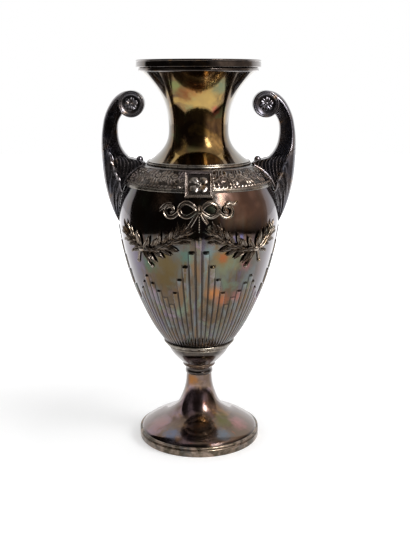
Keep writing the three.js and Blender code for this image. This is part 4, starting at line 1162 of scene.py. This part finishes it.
glint = plate(
    "chased_grey_plate", (172, 166, 160),
    clouds=[((120, 110, 100), 6, 0.48, 0.14), ((160, 130, 90), 8, 0.34, 0.08)],
    recess=(50, 42, 38), roughness=(0.14, 0.26),
)
tablet = plaque("plaque_front_cast")
put(tablet, plaque_middle, (math.pi / 2 - PLAQUE_LEAN, 0, 0))
carve(tablet, ground())
bloom = flower(
    "plaque_flower_front_cast", FLOWER_RADIUS, FLOWER_HEIGHT, petals=4, start=math.pi / 4, crease=0.2,
)
put(bloom, plaque_middle - outward * FLOWER_SUNK, (math.pi / 2 - PLAQUE_LEAN, 0, 0))


def turned_to_back(piece, name):
    """A copy on the back of the vase."""
    twin = copy_of(piece, name)
    put(twin, turn=(0, 0, math.pi))
    return twin


for piece, material, node in ((tablet, frieze_plate, "plaque"), (bloom, glint, "plaque_flower")):
    twin = turned_to_back(piece, f"{node}_back_cast")
    fit(piece, material, f"{node}_front")
    fit(twin, material, f"{node}_back")


# Bows
# A tied ribbon is soldered to the bowl, front and back: two large loops, two small ones, tails, two
# streamers and a drop of beads. Its edges are rolled up, so they catch the light.

RIBBON_SECTION = [
    (-1, 0), (-1, 0.5), (-0.9, 0.9), (-0.74, 1), (-0.58, 0.85), (-0.4, 0.55), (0, 0.42),
    (0.4, 0.55), (0.58, 0.85), (0.74, 1), (0.9, 0.9), (1, 0.5), (1, 0), (0, 0),
]
# Each ribbon of the bow, and whether it has a twin on the left. Its points are along the wall from
# the front, height, lift and share of the width, in millimetres
RIBBONS = [
    ("knot_band", False, [
        (0.9, 231.4, 0.3, 0.8), (0.9, 233.2, 1.8, 1), (0.9, 237.2, 1.8, 1), (0.9, 239, 0.3, 0.8),
    ]),
    ("loop_over", True, [
        (2, 235.2, 0.9, 0.7), (5.4, 239.2, 1.3, 0.9), (10.4, 241.4, 1.5, 1), (15.4, 239.2, 1.2, 1),
        (17, 235, 0.5, 1), (15, 231, 0.2, 1), (10, 229.4, 0.2, 1), (5.6, 231.6, 0.2, 0.9),
        (2, 234.6, 0.2, 0.7),
    ]),
    ("ring", True, [
        (15.6, 235.6, 0.1, 0.8), (18.6, 232, 0.1, 0.9), (22.4, 229.2, 0.3, 1), (27, 229.6, 0.7, 1),
        (29.4, 233.4, 1, 0.9), (27.4, 237.4, 1.3, 0.8), (23.2, 237.8, 1.5, 0.7), (21.8, 234.6, 1.5, 0.6),
        (24.4, 232.6, 1.3, 0.5),
    ]),
    ("left_tail", False, [
        (-24, 239.2, 0.1, 0.8), (-28, 239.4, 0.2, 0.9), (-32, 237, 0.3, 0.9), (-35.6, 233, 0.3, 0.3),
    ]),
    ("right_tail", False, [
        (24, 238.6, 0.1, 0.8), (27.6, 240.4, 0.2, 0.9), (31.4, 239.4, 0.3, 0.9), (35.8, 241.6, 0.3, 0.3),
    ]),
    ("left_streamer", False, [
        (-0.6, 233, 0.2, 0.6), (-4.6, 226.6, 0.4, 0.9), (-8.6, 220.6, 0.4, 0.9), (-12.4, 218, 0.2, 0.8),
        (-16.4, 217.2, 0.1, 0.2),
    ]),
    ("right_streamer", False, [(1.4, 233, 0.2, 0.6), (4.4, 228, 0.4, 0.9), (7.4, 223.4, 0.4, 0.7)]),
]
RIBBON_WIDTH = 3.9 * MM
RIBBON_HEIGHT = 1.6 * MM
SOLDER = SEAM / 3
# Place (along the wall, height) and half size, in millimetres, of the knot and of the highest bead
KNOT = (0.9, 235.2), (2.7, 4.1, 2.6)
TOP_BEAD = (0.3, 229), (0.95, 0.95, 1.3)
BOW_BEADS = 7
BEAD_PITCH = 2.05 * MM


def ribbon(name, path, width=RIBBON_WIDTH, height=RIBBON_HEIGHT):
    """A ribbon laid flat along a path, with its edges up."""
    steps = 8 * (len(path) - 1)

    def spot(column, row):
        way = (len(path) - 1) * row / steps
        x, y, lift, wide = [v * MM for v in along(path, way)]
        ahead, behind = ends_near(path, way)
        across = Vector((behind[1] - ahead[1], ahead[0] - behind[0], 0)).normalized()
        side, up = RIBBON_SECTION[column % len(RIBBON_SECTION)]
        return Vector((x, y, SOLDER + lift + up * height)) + across * side * wide / MM * width / 2, up

    return from_grid(name, len(RIBBON_SECTION), steps, spot, capped=True)


def blob(name, place, size):
    """Half of a ball, flat on the wall, at a place and of a half size in millimetres."""
    made = begin(name, bpy.ops.mesh.primitive_uv_sphere_add, segments=16, ring_count=8, radius=1)
    made.scale = [v * MM for v in size]
    made.location = (place[0] * MM, place[1] * MM, SOLDER)
    settle()
    flat_back(SOLDER)
    keep_raised(made, 1)
    return made


def lay_on_bowl(parts, name):
    """Joins parts drawn flat (along the wall, height, lift) and wraps them on the bowl."""
    only(*parts)
    bpy.ops.object.join()
    whole = parts[0]
    whole.name = whole.data.name = name
    for vertex in whole.data.vertices:
        x, y, lift = vertex.co
        vertex.co = on_bowl(math.degrees(x / bowl_widest), y, lift)
    edit_all()
    face_outwards()
    return whole


bow_parts = [blob("knot", *KNOT)]
for label, twinned, path in RIBBONS:
    for side in (1, -1) if twinned else (1,):
        bow_parts.append(ribbon(f"{label}_{side}", [(side * x, *rest) for x, *rest in path]))
bead = blob("bead_0", *TOP_BEAD)
bow_parts.append(bead)
for i in range(1, BOW_BEADS):
    twin = copy_of(bead, f"bead_{i}")
    put(twin, (0, -i * BEAD_PITCH, 0))
    bow_parts.append(twin)
bow = lay_on_bowl(bow_parts, "bow_front_cast")
ornament = plate(
    "chased_ornament_plate", (158, 147, 136),
    clouds=[
        ((118, 104, 90), 9, 0.48, 0.1), ((138, 112, 78), 14, 0.38, 0.08), ((110, 118, 108), 18, 0.36, 0.08),
    ],
    recess=(26, 20, 16), roughness=(0.12, 0.22), scratch=0.05,
)
bow_back = turned_to_back(bow, "bow_back_cast")
fit(bow, ornament, "bow_front")
fit(bow_back, ornament, "bow_back")


# Festoons
# From each end of a bow hangs a cast laurel branch. It sags to a tie at the side, where its two cut
# stems cross, and rises again to the handle. Its leaves lie in three rows, like shingles.

LEAF_LENGTH = 13 * MM
LEAF_WIDTH = 3.6 * MM
LEAF_THICK = 1.5 * MM
LAUREL_ROWS = 9
# Across the leaf from its edge to its midrib and back: place, height and mark
LEAF_SECTION = [
    (-1, 0, 0.6), (-0.92, 0.62, 1), (-0.78, 0.78, 1), (-0.5, 0.46, 0.1), (-0.2, 0.5, 0.1), (0, 0.95, 1),
    (0.2, 0.5, 0.1), (0.5, 0.46, 0.1), (0.78, 0.78, 1), (0.92, 0.62, 1), (1, 0, 0.6), (0, -0.1, 0.2),
]
BRANCH = [(8.4, 221.4), (13, 215.6), (20, 209.8), (28, 204.6), (37, 200.6), (46.5, 198.2), (56.4, 197)]
RISE = [(80.6, 213.4), (72, 207.8), (63.6, 201.8), (56.4, 197)]
STEMS = [[(58, 199), (61.6, 191.5), (64.8, 185.4)], [(58, 198.6), (52.4, 190.4), (47, 182.6)]]


def laurel_place(column, row):
    """A vertex of a leaf that points along +X from the origin, hollowed beside its midrib."""
    side, up, raised = LEAF_SECTION[column % len(LEAF_SECTION)]
    way = row / LAUREL_ROWS
    width = math.sin(math.pi * way ** 0.8) ** 0.75 if 0 < row < LAUREL_ROWS else 0
    spot = Vector((LEAF_LENGTH * way, side * width * LEAF_WIDTH / 2, up * LEAF_THICK * min(width * 1.4, 1)))
    return spot, raised


def leaves_along(leaf, path, parts, count):
    """Copies the leaf in three rows on a path, the tips away from the path's last point."""
    for i in range(count):
        way = (len(path) - 1) * (1 - 0.84 * (i + 0.6) / (count + 0.4))
        x, y = along(path, way)
        x1, y1 = along(path, max(way - 0.1, 0))
        heading = math.atan2(y1 - y, x1 - x)
        spread = 0.95 - 0.4 * i / count
        rows = ((spread, 0.9, 0.25, 1.0), (-spread, -0.9, 0.3, 1.0), (0.06, 0, 1.15, 0.9))
        for row, (swing, aside, lift, long) in enumerate(rows):
            wobble = 0.22 * math.sin(i * 2.4 + row * 1.9)
            copy = copy_of(leaf, f"leaf_{i}_{row}")
            copy.scale = (long * (1 + 0.1 * math.sin(i * 1.7 + row)), 1, 1)
            copy.rotation_euler = (0, -0.09, heading + swing + wobble)
            copy.location = ((x - aside * math.sin(heading)) * MM, (y + aside * math.cos(heading)) * MM,
                             SOLDER + lift * MM)
            settle()
            parts.append(copy)


laurel = from_grid("laurel_leaf", len(LEAF_SECTION), LAUREL_ROWS, laurel_place)
festoon_parts = [blob("tie", (57, 197.6), (3.4, 3, 3.1))]
for label, path in (("branch", BRANCH), ("rise", RISE)):
    festoon_parts.append(ribbon(label, [(x, y, 0.05, 1) for x, y in path], 2.6 * MM, 0.8 * MM))
for i, path in enumerate(STEMS):
    widening = [(x, y, 0.1, share) for (x, y), share in zip(path, (1, 0.8, 1.2))]
    festoon_parts.append(ribbon(f"stem_{i}", widening, 2 * MM, 1.5 * MM))
    festoon_parts.append(blob(f"cut_end_{i}", path[-1], (1.7, 1.7, 2)))
leaves_along(laurel, BRANCH, festoon_parts, 11)
leaves_along(laurel, RISE, festoon_parts, 6)
bpy.data.objects.remove(laurel)
festoon = lay_on_bowl(festoon_parts, "festoon_front_right_cast")
festoon_left = mirrored(festoon, "festoon_front_left_cast")
for piece, side, other in ((festoon, "right", "left"), (festoon_left, "left", "right")):
    twin = turned_to_back(piece, f"festoon_back_{other}_cast")
    fit(piece, ornament, f"festoon_front_{side}")
    fit(twin, ornament, f"festoon_back_{other}")


# Stud, washer and nut
# A brass stud runs up the stem and draws the bowl down on the foot, with a washer and a nut in the
# foot's hollow. They have never been plated, and are dull brown.

brass = plate(
    "dull_brass", (150, 118, 66),
    clouds=[((104, 76, 44), 5, 0.5, 0.12), ((84, 84, 58), 9, 0.36, 0.1)],
    roughness=(0.32, 0.5), pitch=0.3,
)
for node in ("centre_stud", "stud_washer", "stud_nut"):
    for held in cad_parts[node].material_slots:
        held.material = brass


# Stage
# A pale floor and a white background, soft light all round and three lamps, of which the key stands
# to the right. A dark screen round the front, with a dim top, is seen only by reflections.

EYE = (0, -771.1 * MM, 345.6 * MM)
EYE_DOWN = 13.36
EYE_RIGHT = 0.43
LENS = 54.67
bpy.ops.object.camera_add(location=EYE, rotation=(math.radians(90 - EYE_DOWN), 0, -math.radians(EYE_RIGHT)))
camera = bpy.context.object
camera.data.lens = LENS
camera.data.sensor_width = 36
camera.data.dof.use_dof = False
camera.data.clip_start = 0.01
bpy.context.scene.camera = camera


def bare_material(name):
    """A material with nothing but its output, its tree, and the socket that takes the surface."""
    made = bpy.data.materials.new(name)
    made.use_nodes = True
    tree = made.node_tree
    tree.nodes.remove(tree.nodes["Principled BSDF"])
    return made, tree, tree.nodes["Material Output"].inputs["Surface"]


def seen(tree):
    """1 for what the camera or a reflection sees, 0 for light that falls on things."""
    path = add_node(tree, "LightPath").outputs
    return maths(tree, "MAXIMUM", path["Is Camera Ray"], path["Is Glossy Ray"])


# The floor glows a little where it is seen, and more far from the vase, so that it meets the
# background without a line and keeps the vase's shadow
FLOOR_ALBEDO = 0.8
GLOW_NEAR, GLOW_FAR = 0.28, 0.9
floor_white, tree, surface = bare_material("floor_white")
away = vectors(tree, "LENGTH", add_node(tree, "TexCoord").outputs["Object"], output="Value")
level = ramp(tree, away, 0.16, 0.8, GLOW_NEAR, GLOW_FAR)
glow = add_node(tree, "Emission", {"Strength": maths(tree, "MULTIPLY", seen(tree), level)})
plain = add_node(tree, "BsdfDiffuse", {"Color": (FLOOR_ALBEDO,) * 3 + (1,)})
both = add_node(tree, "AddShader", {0: plain.outputs[0], 1: glow.outputs[0]})
tree.links.new(both.outputs[0], surface)
floor = begin("floor", bpy.ops.mesh.primitive_plane_add, size=6)
floor.data.materials.append(floor_white)

world = bpy.data.worlds.new("soft studio")
bpy.context.scene.world = world
world.use_nodes = True
feed(world.node_tree, world.node_tree.nodes["Background"], {
    "Strength": ramp(world.node_tree, seen(world.node_tree), 0, 1, 0.8, 1.0), "Color": (1, 1, 1, 1),
})

SCREEN_WIDTH = 0.9
SCREEN_DEPTH = 0.5
SCREEN_FOOT = 0.04
SCREEN_HEIGHT = 1.1
SCREEN_FRONT = 0.36
DARK_SIDE = (0.03, 0.026, 0.024, 1)
LIT_SIDE = (0.95, 0.8, 0.7, 1)
DIM_TOP = (0.42, 0.39, 0.37, 1)
PALE_FOOT = (0.9, 0.9, 0.9, 1)
screen = begin("dark_screen", bpy.ops.mesh.primitive_cube_add, size=1,
               location=(0, SCREEN_DEPTH / 2 - SCREEN_FRONT, SCREEN_FOOT + SCREEN_HEIGHT / 2),
               scale=(SCREEN_WIDTH, SCREEN_DEPTH, SCREEN_HEIGHT))
settle()
pick_faces(screen, lambda normal: normal.z < -0.9 or normal.y > 0.9)
bpy.ops.mesh.delete(type="FACE")
bpy.ops.object.mode_set(mode="OBJECT")
# The screen glows dark, with broken warm light on its right, a dim top and a pale, ragged foot
dark_cloth, room, surface = bare_material("dark_cloth")
where = add_node(room, "TexCoord").outputs["Object"]
sides = add_node(room, "SeparateXYZ", {0: where}).outputs
to_right = ramp(room, sides[0], 0.09, 0.32, interpolation_type="SMOOTHSTEP")
over_foot = ramp(room, sides[2], SCREEN_FOOT + 0.06, SCREEN_FOOT + 0.2)
patches = add_node(room, "TexNoise", {"Vector": where, "Scale": 6.0, "Detail": 4.0})
broken = ramp(room, patches.outputs[0], 0.4, 0.62, 0.55, 1.0)
warm = maths(room, "MULTIPLY", maths(room, "MULTIPLY", to_right, over_foot), broken)
overhead = ramp(room, sides[2], SCREEN_HEIGHT - 0.45, SCREEN_HEIGHT)
skyline = add_node(room, "TexNoise", {"W": sides[0], "Scale": 14.0, "Detail": 2.0}, noise_dimensions="1D")
ragged_edge = maths(room, "MULTIPLY_ADD", skyline.outputs[0], -0.07, sides[2])
under_edge = ramp(room, ragged_edge, SCREEN_FOOT - 0.006, SCREEN_FOOT + 0.002, 1.0, 0.0)
shown = mix_colour(room, warm, DARK_SIDE, LIT_SIDE)
shown = mix_colour(room, overhead, shown, DIM_TOP)
shown = mix_colour(room, under_edge, shown, PALE_FOOT)
room.links.new(add_node(room, "Emission", {"Color": shown}).outputs[0], surface)
screen.data.materials.append(dark_cloth)
screen.visible_camera = screen.visible_diffuse = screen.visible_shadow = screen.visible_transmission = False


def lamp(name, place, size, energy, roll=0.0, on_metal=True):
    """A soft lamp, (width, height), turned towards the vase, for the metal or for the floor."""
    bpy.ops.object.light_add(type="AREA", location=place)
    made = bpy.context.object
    made.name = name
    made.data.shape = "RECTANGLE"
    made.data.size, made.data.size_y = size
    made.data.energy = energy
    aim = (Vector((0, 0, 0.2)) - Vector(place)).to_track_quat("-Z", "Y")
    made.rotation_euler = (aim @ Quaternion((0, 0, 1), math.radians(roll))).to_euler()
    made.visible_diffuse = not on_metal
    made.visible_glossy = on_metal


lamp("key_lamp", (0.62, -0.85, 0.95), (0.18, 0.75), 42, -25)
lamp("fill_lamp", (-0.9, -0.6, 0.9), (0.3, 0.8), 6)
lamp("floor_lamp", (1.3, -0.5, 1.1), (0.7, 0.7), 12, on_metal=False)

scene = bpy.context.scene
scene.view_settings.view_transform = "Standard"
